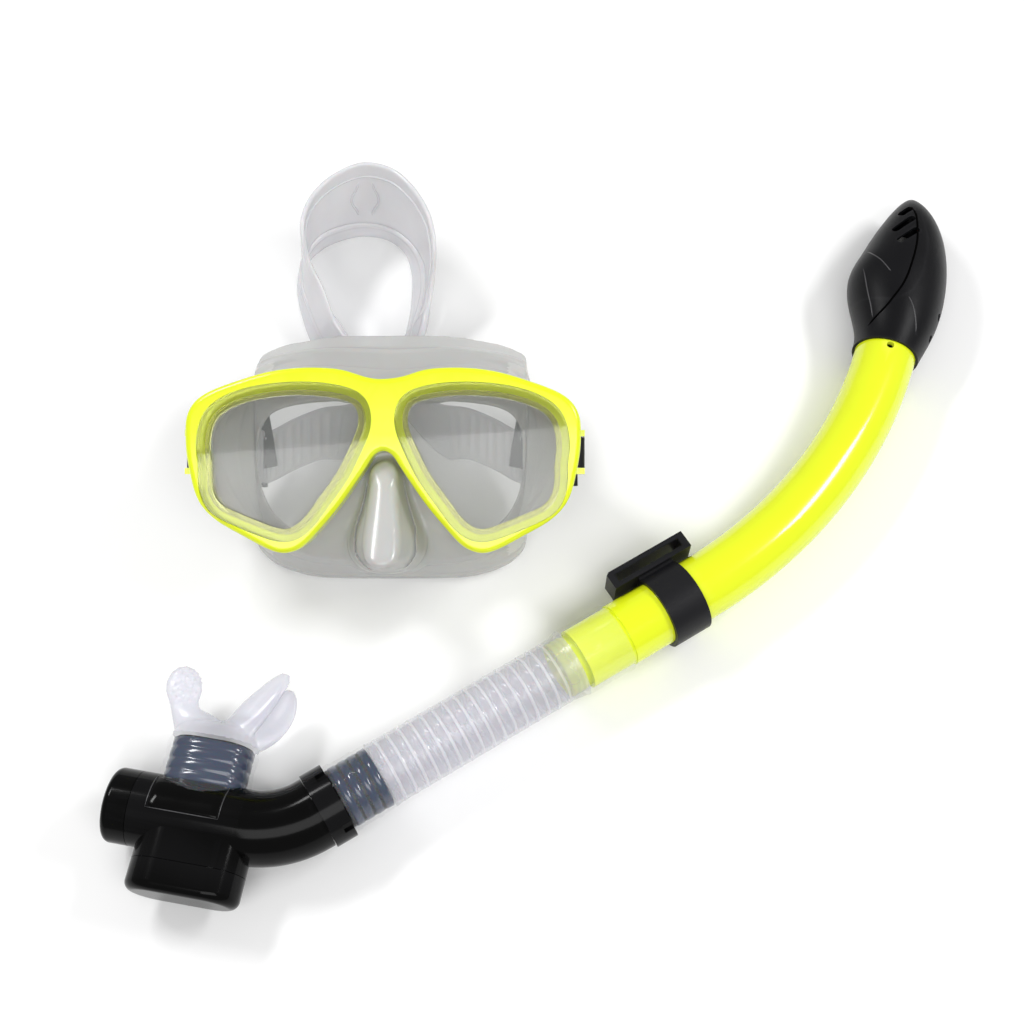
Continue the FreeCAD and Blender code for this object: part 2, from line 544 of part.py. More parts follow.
def breathing_tube():
    """Rigid tube with a turned-down spigot at its lower end and a small vent hole near the top."""
    spigot = size("tube_spigot_length")
    outside = bent_rod("TubeOutside", size("tube_radius"), 0.0, size("tube_top"))
    neck = cylinder("TubeSpigot", (-spigot, 0, 0), TURN_X_AXIS, "Sizes.tube_spigot_radius",
                    "Sizes.tube_spigot_length + 1")
    bore = bent_rod("TubeBore", size("tube_bore"), -spigot - 1, size("tube_top") + 1)
    turn = (size("tube_bend_radius") * BEND_TURN - size("vent_hole_back") + size("tube_top")) \
        / size("tube_bend_radius")
    vent_x = BEND_START + size("tube_bend_radius") * math.sin(turn)
    vent_y = size("tube_bend_radius") * (1 - math.cos(turn))
    vent = cylinder("VentHole", (vent_x, vent_y, 5), Rotation(), "Sizes.vent_hole_radius", "12")
    sub_part("rigid_tube", cut("Tube", fuse("TubeWhole", [outside, neck]), fuse("TubeCuts", [bore, vent])),
             SNORKEL_PLACE)


def flexible_hose():
    """Clear corrugated hose; its two smooth cuffs slip over the tube's and the chamber's spigots."""
    start, end = -size("flex_start"), -size("flex_end")
    low_end = start + size("low_cuff_length")
    high_start = end - size("cuff_length")
    steps = [(start, size("low_cuff_radius"), size("spigot_radius") + 0.1),
             (low_end, size("flex_radius"), size("flex_bore")),
             (high_start, size("cuff_radius"), size("tube_spigot_radius") + 0.05)]
    ends = [low_end, high_start, end]
    outside, inside = [], []
    overlap = 0.5
    for number, ((x, outer, inner), stop) in enumerate(zip(steps, ends)):
        reach = stop - x + overlap + (overlap if stop == end else 0.0)
        outside.append(cylinder("HoseOutside%d" % number, (x, 0, 0), TURN_X_AXIS, str(outer), str(stop - x)))
        inside.append(cylinder("HoseInside%d" % number, (x - overlap, 0, 0), TURN_X_AXIS, str(inner),
                               str(reach)))
    sub_part("flex_hose", cut("Hose", fuse("HoseWhole", outside), fuse("HoseBore", inside)), SNORKEL_PLACE)


def keeper():
    """Ring that turns on the tube, with a long open loop for the mask strap."""
    start, length = size("keeper_start"), size("keeper_length")
    ring = cylinder("KeeperRing", (start, 0, 0), TURN_X_AXIS, "Sizes.keeper_radius", "Sizes.keeper_length")
    loop_start, loop_length = 6.5, 36.0
    loop_low, loop_tall = -2.0, 13.0
    inner_y, loop_deep = 14.0, 7.4
    loop = box("KeeperLoop", (loop_start, inner_y, loop_low), str(loop_length), str(loop_deep),
               str(loop_tall))
    root = box("KeeperRoot", (start, 8.0, loop_low), "Sizes.keeper_length", "7.5", "10")
    slot = box("KeeperSlot", (loop_start + 3.0, inner_y + 2.0, loop_low - 1), "30", "3.4",
               str(loop_tall + 2))
    bore = cylinder("KeeperBore", (start - 1, 0, 0), TURN_X_AXIS, "Sizes.keeper_bore",
                    "Sizes.keeper_length + 2")
    tube_room = cylinder("KeeperTubeRoom", (loop_start - 1, 0, 0), TURN_X_AXIS, "Sizes.keeper_bore + 0.3",
                         str(loop_length + 2))
    wedge = box("KeeperHook", (loop_start - 3.5, inner_y + loop_deep - 3.0, loop_low - 1), "8", "6",
                str(loop_tall + 2), Rotation(AXIS_Z, 32))
    loop_open = cut("KeeperLoopOpen", fuse("KeeperLoopRoot", [loop, root]),
                    fuse("KeeperCuts", [slot, tube_room, wedge]))
    ring_open = cut("KeeperRingOpen", ring, bore)
    sub_part("keeper", fuse("Keeper", [ring_open, loop_open]), SNORKEL_PLACE)


# ---------------------------------------------------------------- dry top
# (distance along the tube's end, sideways shift, half width, half thickness)
DRY_SECTIONS = [
    (-2.0, 0.0, 14.3, 14.3), (6.0, -0.6, 15.6, 15.0), (20.0, 0.9, 19.6, 16.8), (33.0, 2.4, 21.4, 17.5),
    (46.0, 2.0, 19.6, 17.0), (60.0, 2.0, 16.0, 14.8), (72.0, 3.0, 11.0, 11.4), (80.0, 4.6, 5.8, 6.6),
    (84.0, 5.6, 2.0, 2.4)]
SEAM = [(96.0, 9.0), (84.5, 6.2), (72.6, 3.0), (57.5, -2.8), (39.0, -5.1), (24.0, -2.6), (17.2, 3.5)]
SECTION_POINTS = 16


def dry_loft(inset, sections):
    """The dry top's smooth leaf shape, its wall moved inward by the inset."""
    wires = []
    for along, shift, wide, thick in sections:
        loop = []
        for number in range(SECTION_POINTS):
            turn = 2 * math.pi * number / SECTION_POINTS
            loop.append(Vector(along, shift + (wide - inset) * math.cos(turn),
                               (thick - inset) * math.sin(turn)))
        curve = Part.BSplineCurve()
        curve.interpolate(loop, PeriodicFlag=True)
        wires.append(Part.Wire([curve.toShape()]))
    return Part.makeLoft(wires, True)


def dry_top():
    """Two-shell splash and dive guard, with its valve seat, flap, seal and float inside."""
    wall = size("dry_wall")
    outside = dry_loft(0.0, DRY_SECTIONS)
    hollow = dry_loft(wall, DRY_SECTIONS[1:-1])
    keep_front = Part.makeBox(90, 80, 80, Vector(size("tube_top") + 3.0, -40, -40))
    hollow = hollow.common(keep_front)
    socket = Part.makeCylinder(size("socket_bore"), size("tube_top") + 6, Vector(-3, 0, 0), AXIS_X)
    housing = outside.cut(hollow).cut(socket)

    seam = Part.BSplineCurve()
    seam.interpolate([Vector(x, y, -30) for x, y in SEAM])
    near, far = Vector(SEAM[-1][0], SEAM[-1][1], -30), Vector(SEAM[0][0], SEAM[0][1], -30)
    corner_near, corner_far = Vector(near.x, 50, -30), Vector(far.x, 50, -30)
    border = [seam.toShape(), Part.makeLine(near, corner_near), Part.makeLine(corner_near, corner_far),
              Part.makeLine(corner_far, far)]
    left_side = Part.Face(Part.Wire(border)).extrude(Vector(0, 0, 60))
    cap = housing.common(left_side)
    base = housing.cut(left_side)

    for side in (-1, 1):
        for along, across in ((69.5, 8.0), (60.2, 7.6), (53.2, 4.6)):
            slot_length = 8.0 if along > 65 else 13.0
            slot = Part.makeBox(slot_length, 3.2, 30, Vector(-slot_length / 2, -1.6, 0))
            slot = slot.makeFillet(1.5, [edge for edge in slot.Edges if edge.BoundBox.ZLength > 29])
            slot.rotate(Vector(0, 0, 0), AXIS_Z, 145)
            if side < 0:
                slot.rotate(Vector(0, 0, 0), AXIS_X, 180)
                slot.rotate(Vector(0, 0, 0), AXIS_Z, 290 - 180)
            slot.translate(Vector(along, across, 2 * side))
            cap = cap.cut(slot)
    for along, height in ((10.5, 4.0), (22.0, 5.0)):
        drain = Part.makeCylinder(1.7, 14, Vector(along, -26, height), AXIS_Y)
        base = base.cut(drain)
    sub_part("dry_top_cap", solid("DryCap", cap), DRY_PLACE)
    sub_part("dry_top_base", solid("DryBase", base), DRY_PLACE)

    seat_start = size("tube_top") + 0.1
    seat_plate = cylinder("SeatPlate", (seat_start, 0, 0), TURN_X_AXIS, "Sizes.socket_bore - 0.05", "2")
    seat_hole = cylinder("SeatBore", (seat_start - 1, 0, 0), TURN_X_AXIS, "Sizes.seat_bore", "4")
    seat = cut("ValveSeat", seat_plate, seat_hole)
    pin_x, pin_y = seat_start + 4.2, -9.4
    posts = [box("SeatPost%s" % word, (seat_start + 1.5, pin_y - 1.3, z), "4.3", "2.6", "2")
             for word, z in (("Low", -7.4), ("High", 5.4))]
    pin_bore = cylinder("SeatPinBore", (pin_x, pin_y, -8), Rotation(), "0.75", "16")
    sub_part("valve_seat", cut("Seat", fuse("SeatWhole", [seat] + posts), pin_bore), DRY_PLACE)
    pin = cylinder("FlapPin", (pin_x, pin_y, -7.4), Rotation(), "0.7", "14.8")
    sub_part("flap_pin", pin, DRY_PLACE)

    knuckle = cylinder("FlapKnuckle", (pin_x, pin_y, -5.2), Rotation(), "1.5", "10.4")
    leaf = box("FlapLeaf", (pin_x - 0.8, pin_y, -5.0), "1.6", "19", "10")
    flap_bore = cylinder("FlapBore", (pin_x, pin_y, -6), Rotation(), "0.76", "12")
    flap = cut("Flap", fuse("FlapWhole", [knuckle, leaf]), flap_bore)
    seal = cylinder("FlapSeal", (pin_x - 2.05, 0, 0), TURN_X_AXIS, "9.2", "1.25")
    pivot = Vector(pin_x, pin_y, 0)
    open_turn = Placement(Vector(0, 0, 0), Rotation(AXIS_Z, -size("flap_open")), pivot)
    sub_part("valve_flap", flap, DRY_PLACE.multiply(open_turn))
    seal_body = cut("Seal", seal, box("SealNotch", (pin_x - 4, -12, -6), "8", "4.4", "12"))
    sub_part("flap_seal", seal_body, DRY_PLACE.multiply(open_turn))

    float_block = Part.makeBox(18, 17, 18, Vector(40, -7, -9))
    float_block = float_block.makeFillet(3.0, float_block.Edges)
    sub_part("float", solid("Float", float_block), DRY_PLACE)


# ---------------------------------------------------------------- lower chamber
BARREL_Y = size("barrel_offset")
BEND_X = size("barrel_bend_x")
CHAMBER_BEND = math.radians(size("chamber_turn"))
COLLAR_X = BEND_X + size("chamber_bend_radius") * math.sin(CHAMBER_BEND)
COLLAR_Y = BARREL_Y + size("chamber_bend_radius") * (1 - math.cos(CHAMBER_BEND))
COLLAR_PLACE = Placement(Vector(COLLAR_X, COLLAR_Y, 0), Rotation(AXIS_Z, size("chamber_turn")))
COLLAR_END = size("flex_start") + 0.3
CHAMBER_PLACE = SNORKEL_PLACE.multiply(
    Placement(Vector(-COLLAR_END - size("collar_length"), 0, 0), Rotation())).multiply(COLLAR_PLACE.inverse())


def elbow(name, radius, before, after):
    """A rod along the barrel, round the bend and into the collar."""
    bend = size("chamber_bend_radius")
    start = Vector(BEND_X, BARREL_Y, 0)
    half = CHAMBER_BEND / 2
    arc_middle = Vector(BEND_X + bend * math.sin(half), BARREL_Y + bend * (1 - math.cos(half)), 0)
    end = Vector(COLLAR_X, COLLAR_Y, 0)
    direction = Vector(math.cos(CHAMBER_BEND), math.sin(CHAMBER_BEND), 0)
    first = Vector(before, BARREL_Y, 0)
    edges = [Part.LineSegment(first, start).toShape(), Part.Arc(start, arc_middle, end).toShape(),
             Part.LineSegment(end, end + direction * after).toShape()]
    circle = Part.Wire([Part.Circle(first, AXIS_X, radius).toShape()])
    return Part.Wire(edges).makePipeShell([circle], True, False)


def oblong(width, thick, middle_x, start_y, end_y):
    """A bar along -Y or +Y whose section is a rounded oblong, wide along X."""
    radius = thick / 2
    reach = width / 2 - radius
    top = [Vector(middle_x - reach, start_y, radius), Vector(middle_x + reach, start_y, radius)]
    low = [Vector(middle_x - reach, start_y, -radius), Vector(middle_x + reach, start_y, -radius)]
    edges = [Part.makeLine(top[0], top[1]),
             Part.Arc(top[1], Vector(middle_x + reach + radius, start_y, 0), low[1]).toShape(),
             Part.makeLine(low[1], low[0]),
             Part.Arc(low[0], Vector(middle_x - reach - radius, start_y, 0), top[0]).toShape()]
    return Part.Face(Part.Wire(edges)).extrude(Vector(0, end_y - start_y, 0))


def lower_chamber():
    """Glossy black elbow with its mouthpiece port, purge housing, end cap and hose collar."""
    wall = size("purge_wall")
    width, thick, middle = size("purge_width"), size("purge_thick"), size("purge_middle")
    outside = elbow("ElbowOutside", size("chamber_radius"), size("barrel_start"), 2.0)
    spigot = Part.makeCylinder(size("spigot_radius"), size("collar_length") + size("spigot_length"),
                               Vector(0, 0, 0), AXIS_X)
    spigot.Placement = COLLAR_PLACE
    housing = oblong(width, thick, middle, BARREL_Y, size("purge_seam"))
    port = oblong(size("port_width"), size("port_thick"), size("port_middle"), BARREL_Y, size("port_end"))
    whole = outside.fuse([spigot, housing, port])
    bore = elbow("ElbowBore", size("spigot_bore"), size("barrel_start") - 1,
                 size("collar_length") + size("spigot_length") + 1)
    room = Part.makeCylinder(size("chamber_bore"), BEND_X - size("barrel_start") + 1,
                             Vector(size("barrel_start") - 1, BARREL_Y, 0), AXIS_X)
    purge_room = oblong(width - 2 * wall, thick - 2 * wall, middle, BARREL_Y - 8, size("purge_seam") - 1)
    port_wide = size("port_width") - 2 * size("port_wall")
    port_thick = size("port_thick") - 2 * size("port_wall")
    port_room = oblong(port_wide, port_thick, size("port_middle"), BARREL_Y, size("port_end") + 1)
    shell = whole.cut(bore).cut(room).cut(purge_room).cut(port_room)
    sub_part("chamber", solid("Chamber", shell), CHAMBER_PLACE)

    ring_start = Vector(2.2, 0, 0)
    ring = Part.makeCylinder(size("collar_radius"), size("collar_length") - 2.4, ring_start, AXIS_X)
    ring = ring.cut(Part.makeCylinder(size("spigot_radius") + 0.02, 40, Vector(-5, 0, 0), AXIS_X))
    for turn in (60, 150, 240, 330):
        notch = Part.makeBox(5.0, 4.0, 3.0, Vector(7.0, -2.0, size("collar_radius") - 1.2))
        notch.rotate(Vector(0, 0, 0), AXIS_X, turn)
        ring = ring.cut(notch)
    sub_part("hose_collar", solid("Collar", ring), CHAMBER_PLACE.multiply(COLLAR_PLACE))

    cap_end = size("cap_end")
    cap_length = size("barrel_start") - cap_end - 0.2
    cap = Part.makeCylinder(size("chamber_radius"), cap_length, Vector(cap_end, BARREL_Y, 0), AXIS_X)
    cap = cap.makeFillet(2.6, [edge for edge in cap.Edges if edge.BoundBox.XMax < cap_end + 0.1])
    cap_room = Part.makeCylinder(size("chamber_bore") - 0.5, cap_length, Vector(cap_end + 2, BARREL_Y, 0),
                                 AXIS_X)
    cap = cap.cut(cap_room)
    plug_start, plug_end = cap_end + 1.0, size("barrel_start") + 3.0
    plug = Part.makeCylinder(size("chamber_bore") - 0.02, plug_end - plug_start,
                             Vector(plug_start, BARREL_Y, 0), AXIS_X)
    plug = plug.cut(Part.makeCylinder(size("chamber_bore") - 1.6, plug_end - plug_start,
                                      Vector(plug_start + 1.0, BARREL_Y, 0), AXIS_X))
    sub_part("chamber_end_cap", solid("EndCap", cap.fuse(plug)), CHAMBER_PLACE)

    bottom = size("purge_bottom")
    cover = oblong(width, thick, middle, size("purge_seam") - 0.2, bottom)
    cover = cover.makeFillet(3.4, [edge for edge in cover.Edges if edge.BoundBox.YMax < bottom + 0.1])
    cover = cover.cut(oblong(width - 2 * wall, thick - 2 * wall, middle, size("purge_seam") + 1,
                             bottom + wall))
    slot_wide, slot_pitch, slot_long = 2.2, 5.0, 6.0
    for step in range(-2, 3):
        slot_x = middle + step * slot_pitch - slot_wide / 2
        slot = Part.makeBox(slot_wide, slot_long, 6.0, Vector(slot_x, bottom + 3.0, -thick / 2 - 2))
        cover = cover.cut(slot)
    sub_part("purge_cover", solid("PurgeCover", cover), CHAMBER_PLACE)

    seat_y = size("purge_seam")
    seat = oblong(width - 2 * wall - 0.04, thick - 2 * wall - 0.04, middle, seat_y + 2.4, seat_y + 0.2)
    stem_hole = Part.makeCylinder(1.2, 6, Vector(middle, seat_y - 1, 0), AXIS_Y)
    seat = seat.cut(stem_hole)
    hole_ring = 5.2
    for turn in range(0, 360, 60):
        hole_x = middle + hole_ring * math.cos(math.radians(turn))
        hole_z = hole_ring * math.sin(math.radians(turn))
        hole = Part.makeCylinder(1.9, 6, Vector(hole_x, seat_y - 1, hole_z), AXIS_Y)
        seat = seat.cut(hole)
    sub_part("purge_seat", solid("PurgeSeat", seat), CHAMBER_PLACE)
    disc = Part.makeCylinder(9.0, 1.0, Vector(middle, seat_y - 0.95, 0), AXIS_Y)
    stem = Part.makeCylinder(1.1, 4.6, Vector(middle, seat_y - 0.95, 0), AXIS_Y)
    sub_part("purge_valve", solid("PurgeValve", disc.fuse(stem)), CHAMBER_PLACE)


def mouthpiece():
    """Clear silicone mouthpiece: neck over the port, lip flange and two bite wings."""
    middle = size("port_middle")
    neck = oblong(size("neck_width"), size("neck_thick"), middle, size("neck_start"), size("neck_end"))
    inside = oblong(size("port_width") + 0.04, size("port_thick") + 0.04, middle, size("neck_start") - 1,
                    size("port_end") + 0.1)
    throat = oblong(size("port_width") - 8, size("port_thick") - 8, middle, size("port_end") - 2,
                    size("neck_end") + 8)
    flange = oblong(size("neck_width") + 5, size("neck_thick") + 7, middle, size("neck_end") - 1.5,
                    size("neck_end") + 2)
    wings = []
    for side, tilt in ((-1, 8.0), (1, -50.0)):
        wing = Part.makeBox(13.0, 25.0, 3.4, Vector(-6.5, 0, -1.7))
        wing = wing.makeFillet(1.6, wing.Edges)
        wing.rotate(Vector(0, 0, 0), AXIS_Y, tilt)
        wing.rotate(Vector(0, 0, 0), AXIS_Z, -side * 9.0)
        wing.translate(Vector(middle + side * 14.0, size("neck_end"), 0))
        wings.append(wing)
    whole = neck.fuse([flange] + wings).cut(inside).cut(throat)
    sub_part("mouthpiece", solid("Mouthpiece", whole), CHAMBER_PLACE)


mask_frame()
lens_and_ring()
skirt()
buckles()
strap()
breathing_tube()
flexible_hose()
keeper()
dry_top()
lower_chamber()
mouthpiece()


def check_and_write():
    doc.recompute()
    for item in doc.Objects:
        if "Invalid" in item.State or "Error" in item.State:
            raise RuntimeError(item.Name + " did not compute")
    os.makedirs("parts", exist_ok=True)
    for item in PARTS:
        shape = item.Shape
        if shape.isNull() or not shape.isValid():
            raise RuntimeError(item.Label + " is not a valid solid")
        shape.exportStep("parts/%s.step" % item.Label)
        print(item.Label, len(shape.Solids), round(shape.Volume, 1))


check_and_write()
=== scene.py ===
"""Diving mask with its snorkel on a pale floor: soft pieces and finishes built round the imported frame.

Lists of places are in millimetres; Blender objects are in metres, in the frame's own axes.
"""

import json
import math

import bpy
from mathutils import Matrix, Vector


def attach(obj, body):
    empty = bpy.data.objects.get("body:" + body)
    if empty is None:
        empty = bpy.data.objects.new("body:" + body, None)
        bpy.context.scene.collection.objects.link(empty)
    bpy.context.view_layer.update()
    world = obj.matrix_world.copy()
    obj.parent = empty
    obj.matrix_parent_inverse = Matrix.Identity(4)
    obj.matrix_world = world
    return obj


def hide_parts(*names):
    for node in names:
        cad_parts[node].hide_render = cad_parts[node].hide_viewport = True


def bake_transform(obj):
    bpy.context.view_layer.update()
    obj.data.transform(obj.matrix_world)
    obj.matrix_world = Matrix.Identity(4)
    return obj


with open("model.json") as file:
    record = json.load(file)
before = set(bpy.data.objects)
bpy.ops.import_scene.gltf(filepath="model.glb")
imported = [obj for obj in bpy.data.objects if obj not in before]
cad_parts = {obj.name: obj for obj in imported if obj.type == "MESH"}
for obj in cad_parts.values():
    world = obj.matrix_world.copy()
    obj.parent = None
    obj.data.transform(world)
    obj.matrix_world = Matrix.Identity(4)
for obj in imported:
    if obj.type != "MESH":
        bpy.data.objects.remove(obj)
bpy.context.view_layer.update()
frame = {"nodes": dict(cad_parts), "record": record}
NODES = frame["nodes"]
MM = 0.001


def placed(x, y, z, turn, axis="Z"):
    """A part's own frame, from its origin in millimetres and its turn in degrees."""
    return Matrix.Translation(Vector((x, y, z)) * MM) @ Matrix.Rotation(math.radians(turn), 4, axis)


ROW = Matrix.Identity(4)
MASK = placed(-71.75, 2.7, 61.75, 26.0, "X")
SNORKEL = placed(20.65, -53.9, 18.85, 31.5)
DRY_TOP = placed(141.02, 77.49, 18.85, 71.5)
CHAMBER = placed(-138.88, -128.85, 18.85, -10.0)


# ---------------------------------------------------------------- mesh tools
LATHE_STEPS = 72
BEAD_STEPS = 10


def mesh_piece(name, points, faces, place=ROW):
    """A smooth-shaded mesh from points in millimetres."""
    mesh = bpy.data.meshes.new(name)
    mesh.from_pydata([place @ (Vector(point) * MM) for point in points], [], faces)
    mesh.validate()
    mesh.polygons.foreach_set("use_smooth", [True] * len(mesh.polygons))
    piece = bpy.data.objects.new(name, mesh)
    bpy.context.scene.collection.objects.link(piece)
    return piece


def ring_faces(rings, around, closed_along=False, start=0):
    """Faces of a tube of rings with the same number of points; it has ends unless it closes on itself."""
    faces = []
    last = rings if closed_along else rings - 1
    for ring in range(last):
        near, far = start + ring * around, start + (ring + 1) % rings * around
        for step in range(around):
            after = (step + 1) % around
            faces.append((near + step, near + after, far + after, far + step))
    if not closed_along:
        faces.append(tuple(start + step for step in reversed(range(around))))
        faces.append(tuple(start + (rings - 1) * around + step for step in range(around)))
    return faces


def tube_piece(name, rings, place=ROW, closed_along=False):
    points = [point for ring in rings for point in ring]
    return mesh_piece(name, points, ring_faces(len(rings), len(rings[0]), closed_along), place)


def smooth_path(points, steps):
    """Points on a smooth curve through the given ones, with the same number of steps in each span."""
    points = [Vector(point) for point in points]
    path = []
    for number in range(len(points) - 1):
        p1, p2 = points[number], points[number + 1]
        p0 = points[number - 1] if number else p1 * 2 - p2
        p3 = points[number + 2] if number + 2 < len(points) else p2 * 2 - p1
        for step in range(steps):
            t = step / steps
            path.append(0.5 * (2 * p1 + (p2 - p0) * t + (2 * p0 - 5 * p1 + 4 * p2 - p3) * t * t
                               + (3 * p1 - p0 - 3 * p2 + p3) * t ** 3))
    path.append(points[-1])
    return path


def lathe(name, profile, place):
    """A body of revolution about the frame's X axis; the profile is a closed loop of (x, radius)."""
    rings = []
    for step in range(LATHE_STEPS):
        turn = 2 * math.pi * step / LATHE_STEPS
        rings.append([(x, r * math.cos(turn), r * math.sin(turn)) for x, r in profile])
    return tube_piece(name, rings, place, closed_along=True)


def remeshed(piece, voxel, rounds):
    """The piece's modifiers applied: an even mesh of its outside, then smoothed."""
    remesh = piece.modifiers.new("even", "REMESH")
    remesh.mode = "VOXEL"
    remesh.voxel_size = voxel
    remesh.use_smooth_shade = True
    if rounds:
        smooth = piece.modifiers.new("soften", "CORRECTIVE_SMOOTH")
        smooth.use_only_smooth = True
        smooth.factor = 0.5
        smooth.iterations = rounds
    graph = bpy.context.evaluated_depsgraph_get()
    mesh = bpy.data.meshes.new_from_object(piece.evaluated_get(graph))
    piece.modifiers.clear()
    piece.data = mesh
    mesh.polygons.foreach_set("use_smooth", [True] * len(mesh.polygons))
    return piece


def bead(name, path, radius, place=ROW):
    """A thin round bead along a path of points in millimetres, tapered to a quarter of its radius at its
    ends.
    """
    rings = []
    side = (path[1] - path[0]).orthogonal()
    for number, point in enumerate(path):
        along = (path[min(number + 1, len(path) - 1)] - path[max(number - 1, 0)]).normalized()
        side = (side - along * side.dot(along)).normalized()
        up = along.cross(side)
        end = min(number, len(path) - 1 - number)
        width = radius * min(1.0, 0.25 + 0.25 * end)
        turns = [2 * math.pi * step / BEAD_STEPS for step in range(BEAD_STEPS)]
        rings.append([point + side * width * math.cos(turn) + up * width * math.sin(turn)
                      for turn in turns])
    return tube_piece(name, rings, place)


# ---------------------------------------------------------------- materials
def add_node(tree, kind, **inputs):
    node = tree.nodes.new(kind)
    for socket, number in inputs.items():
        node.inputs[socket.replace("_", " ")].default_value = number
    return node


def surface(name, colour, roughness, grain=0.0, grain_scale=2500.0, patchy=0.0, patch_scale=60.0,
            smudge=0.06, alpha=1.0, coat=0.0, metallic=0.0, edge=None, **constants):
    """A moulded finish: fine grain, faint patches of colour, smudges in its gloss and worn edges."""
    material = bpy.data.materials.new(name)
    material.use_nodes = True
    tree = material.node_tree
    shader = tree.nodes["Principled BSDF"]
    shader.inputs["Base Color"].default_value = (*colour, 1.0)
    shader.inputs["Alpha"].default_value = alpha
    shader.inputs["Metallic"].default_value = metallic
    shader.inputs["Coat Weight"].default_value = coat
    shader.inputs["Coat Roughness"].default_value = 0.06
    for socket, number in constants.items():
        shader.inputs[socket.replace("_", " ")].default_value = number
    where = tree.nodes.new("ShaderNodeTexCoord")

    patches = add_node(tree, "ShaderNodeTexNoise", Scale=patch_scale, Detail=3.0)
    tree.links.new(where.outputs["Object"], patches.inputs["Vector"])
    gloss = add_node(tree, "ShaderNodeMapRange", To_Min=max(roughness - smudge, 0.01),
                     To_Max=roughness + smudge)
    tree.links.new(patches.outputs["Fac"], gloss.inputs["Value"])
    tree.links.new(gloss.outputs["Result"], shader.inputs["Roughness"])

    tint = tree.nodes.new("ShaderNodeMix")
    tint.data_type = "RGBA"
    tint.inputs["A"].default_value = (*[channel * (1 - patchy) for channel in colour], 1.0)
    tint.inputs["B"].default_value = (*[min(channel * (1 + patchy), 1.0) for channel in colour], 1.0)
    tree.links.new(patches.outputs["Fac"], tint.inputs["Factor"])
    colour_out = tint.outputs["Result"]
    if edge:
        shape = tree.nodes.new("ShaderNodeNewGeometry")
        rim = add_node(tree, "ShaderNodeMapRange", From_Min=0.53, From_Max=0.62, To_Min=0.0, To_Max=0.5)
        worn = tree.nodes.new("ShaderNodeMix")
        worn.data_type = "RGBA"
        worn.inputs["B"].default_value = (*edge, 1.0)
        tree.links.new(shape.outputs["Pointiness"], rim.inputs["Value"])
        tree.links.new(rim.outputs["Result"], worn.inputs["Factor"])
        tree.links.new(colour_out, worn.inputs["A"])
        colour_out = worn.outputs["Result"]
    tree.links.new(colour_out, shader.inputs["Base Color"])

    if grain:
        fine = add_node(tree, "ShaderNodeTexNoise", Scale=grain_scale, Detail=2.0)
        bump = add_node(tree, "ShaderNodeBump", Strength=grain, Distance=0.0002)
        tree.links.new(where.outputs["Object"], fine.inputs["Vector"])
        tree.links.new(fine.outputs["Fac"], bump.inputs["Height"])
        tree.links.new(bump.outputs["Normal"], shader.inputs["Normal"])
    return material


def silicone(name, colour, alpha, roughness=0.2):
    """Clear silicone seen as a milky layer: soft gloss, faint clouds, finely rippled."""
    return surface(name, colour, roughness, grain=0.12, grain_scale=700.0, patchy=0.05, alpha=alpha,
                   smudge=0.05, Subsurface_Weight=0.15, Subsurface_Scale=0.004, Specular_IOR_Level=0.65)


FINISHES = {
    "frame_yellow": surface("Yellow gloss", (0.76, 0.86, 0.012), 0.16, patchy=0.03, grain=0.05,
                            grain_scale=220.0, coat=0.3, edge=(0.92, 0.97, 0.10)),
    "ring_clear": surface("Clear ring", (0.96, 0.98, 0.44), 0.03, smudge=0.015, grain=0.04,
                          grain_scale=260.0, Transmission_Weight=0.95, IOR=1.49),
    # The lens's dark grey base colour is painted shade: it darkens the floor seen through it as if that
    # floor lay in the shade under the mask.
    "lens_glass": surface("Lens with painted shade", (0.30, 0.31, 0.30), 0.03, smudge=0.015, alpha=0.24, coat=0.5,
                          Specular_IOR_Level=0.8),
    "skirt_silicone": silicone("Skirt silicone", (0.60, 0.60, 0.59), 0.72),
    "skirt_wall": silicone("Skirt wall silicone", (0.60, 0.60, 0.59), 0.93),
    "strap_silicone": silicone("Strap silicone", (0.74, 0.74, 0.77), 0.66),
    # The moulded lines' lighter silicone is a painted highlight: the raised lines are drawn lighter as if
    # they catch the light.
    "line_silicone_painted_highlight": silicone("Moulded line silicone with painted highlight", (0.86, 0.86, 0.89), 0.45),
    "hose_silicone": silicone("Hose silicone", (0.62, 0.62, 0.69), 0.30, roughness=0.12),
    "ring_silicone": silicone("Hose ring silicone", (0.86, 0.86, 0.92), 0.36, roughness=0.12),
    "mouthpiece_silicone": silicone("Mouthpiece silicone", (0.68, 0.68, 0.77), 0.46),
    "cuff_silicone": silicone("Clear cuff silicone", (0.72, 0.75, 0.82), 0.055, roughness=0.1),
    "black_matte": surface("Black matt plastic", (0.005, 0.005, 0.006), 0.36, grain=0.3, patchy=0.15,
                           edge=(0.018, 0.018, 0.02), Specular_IOR_Level=0.16),
    "black_gloss": surface("Black gloss plastic", (0.002, 0.002, 0.002), 0.13, grain=0.04,
                           grain_scale=180.0, patchy=0.1, edge=(0.01, 0.01, 0.011),
                           Specular_IOR_Level=0.10),
    "pin_steel": surface("Pin steel", (0.62, 0.62, 0.64), 0.28, metallic=1.0, grain=0.1,
                         grain_scale=900.0),
    "seal_rubber": surface("Seal rubber", (0.02, 0.02, 0.021), 0.55, grain=0.3, patchy=0.1),
    "seam_black": surface("Seam shadow", (0.0005, 0.0005, 0.0005), 0.7, Specular_IOR_Level=0.02),
    # The crease and edge beads' lighter grey is a painted highlight along raised lines of black plastic.
    "crease_highlight_grey": surface("Crease edge painted highlight", (0.055, 0.055, 0.058), 0.3, patchy=0.1),
    "float_foam": surface("Float foam", (0.05, 0.05, 0.048), 0.6, grain=0.5, grain_scale=1600.0,
                          patchy=0.06),
    "port_blue": surface("Blue grey port", (0.016, 0.028, 0.065), 0.18, patchy=0.1, grain=0.05,
                         grain_scale=300.0, coat=0.3),
}
SLOT_OF = {entry["node"]: entry["material_slot"] for entry in frame["record"]["subparts"]}


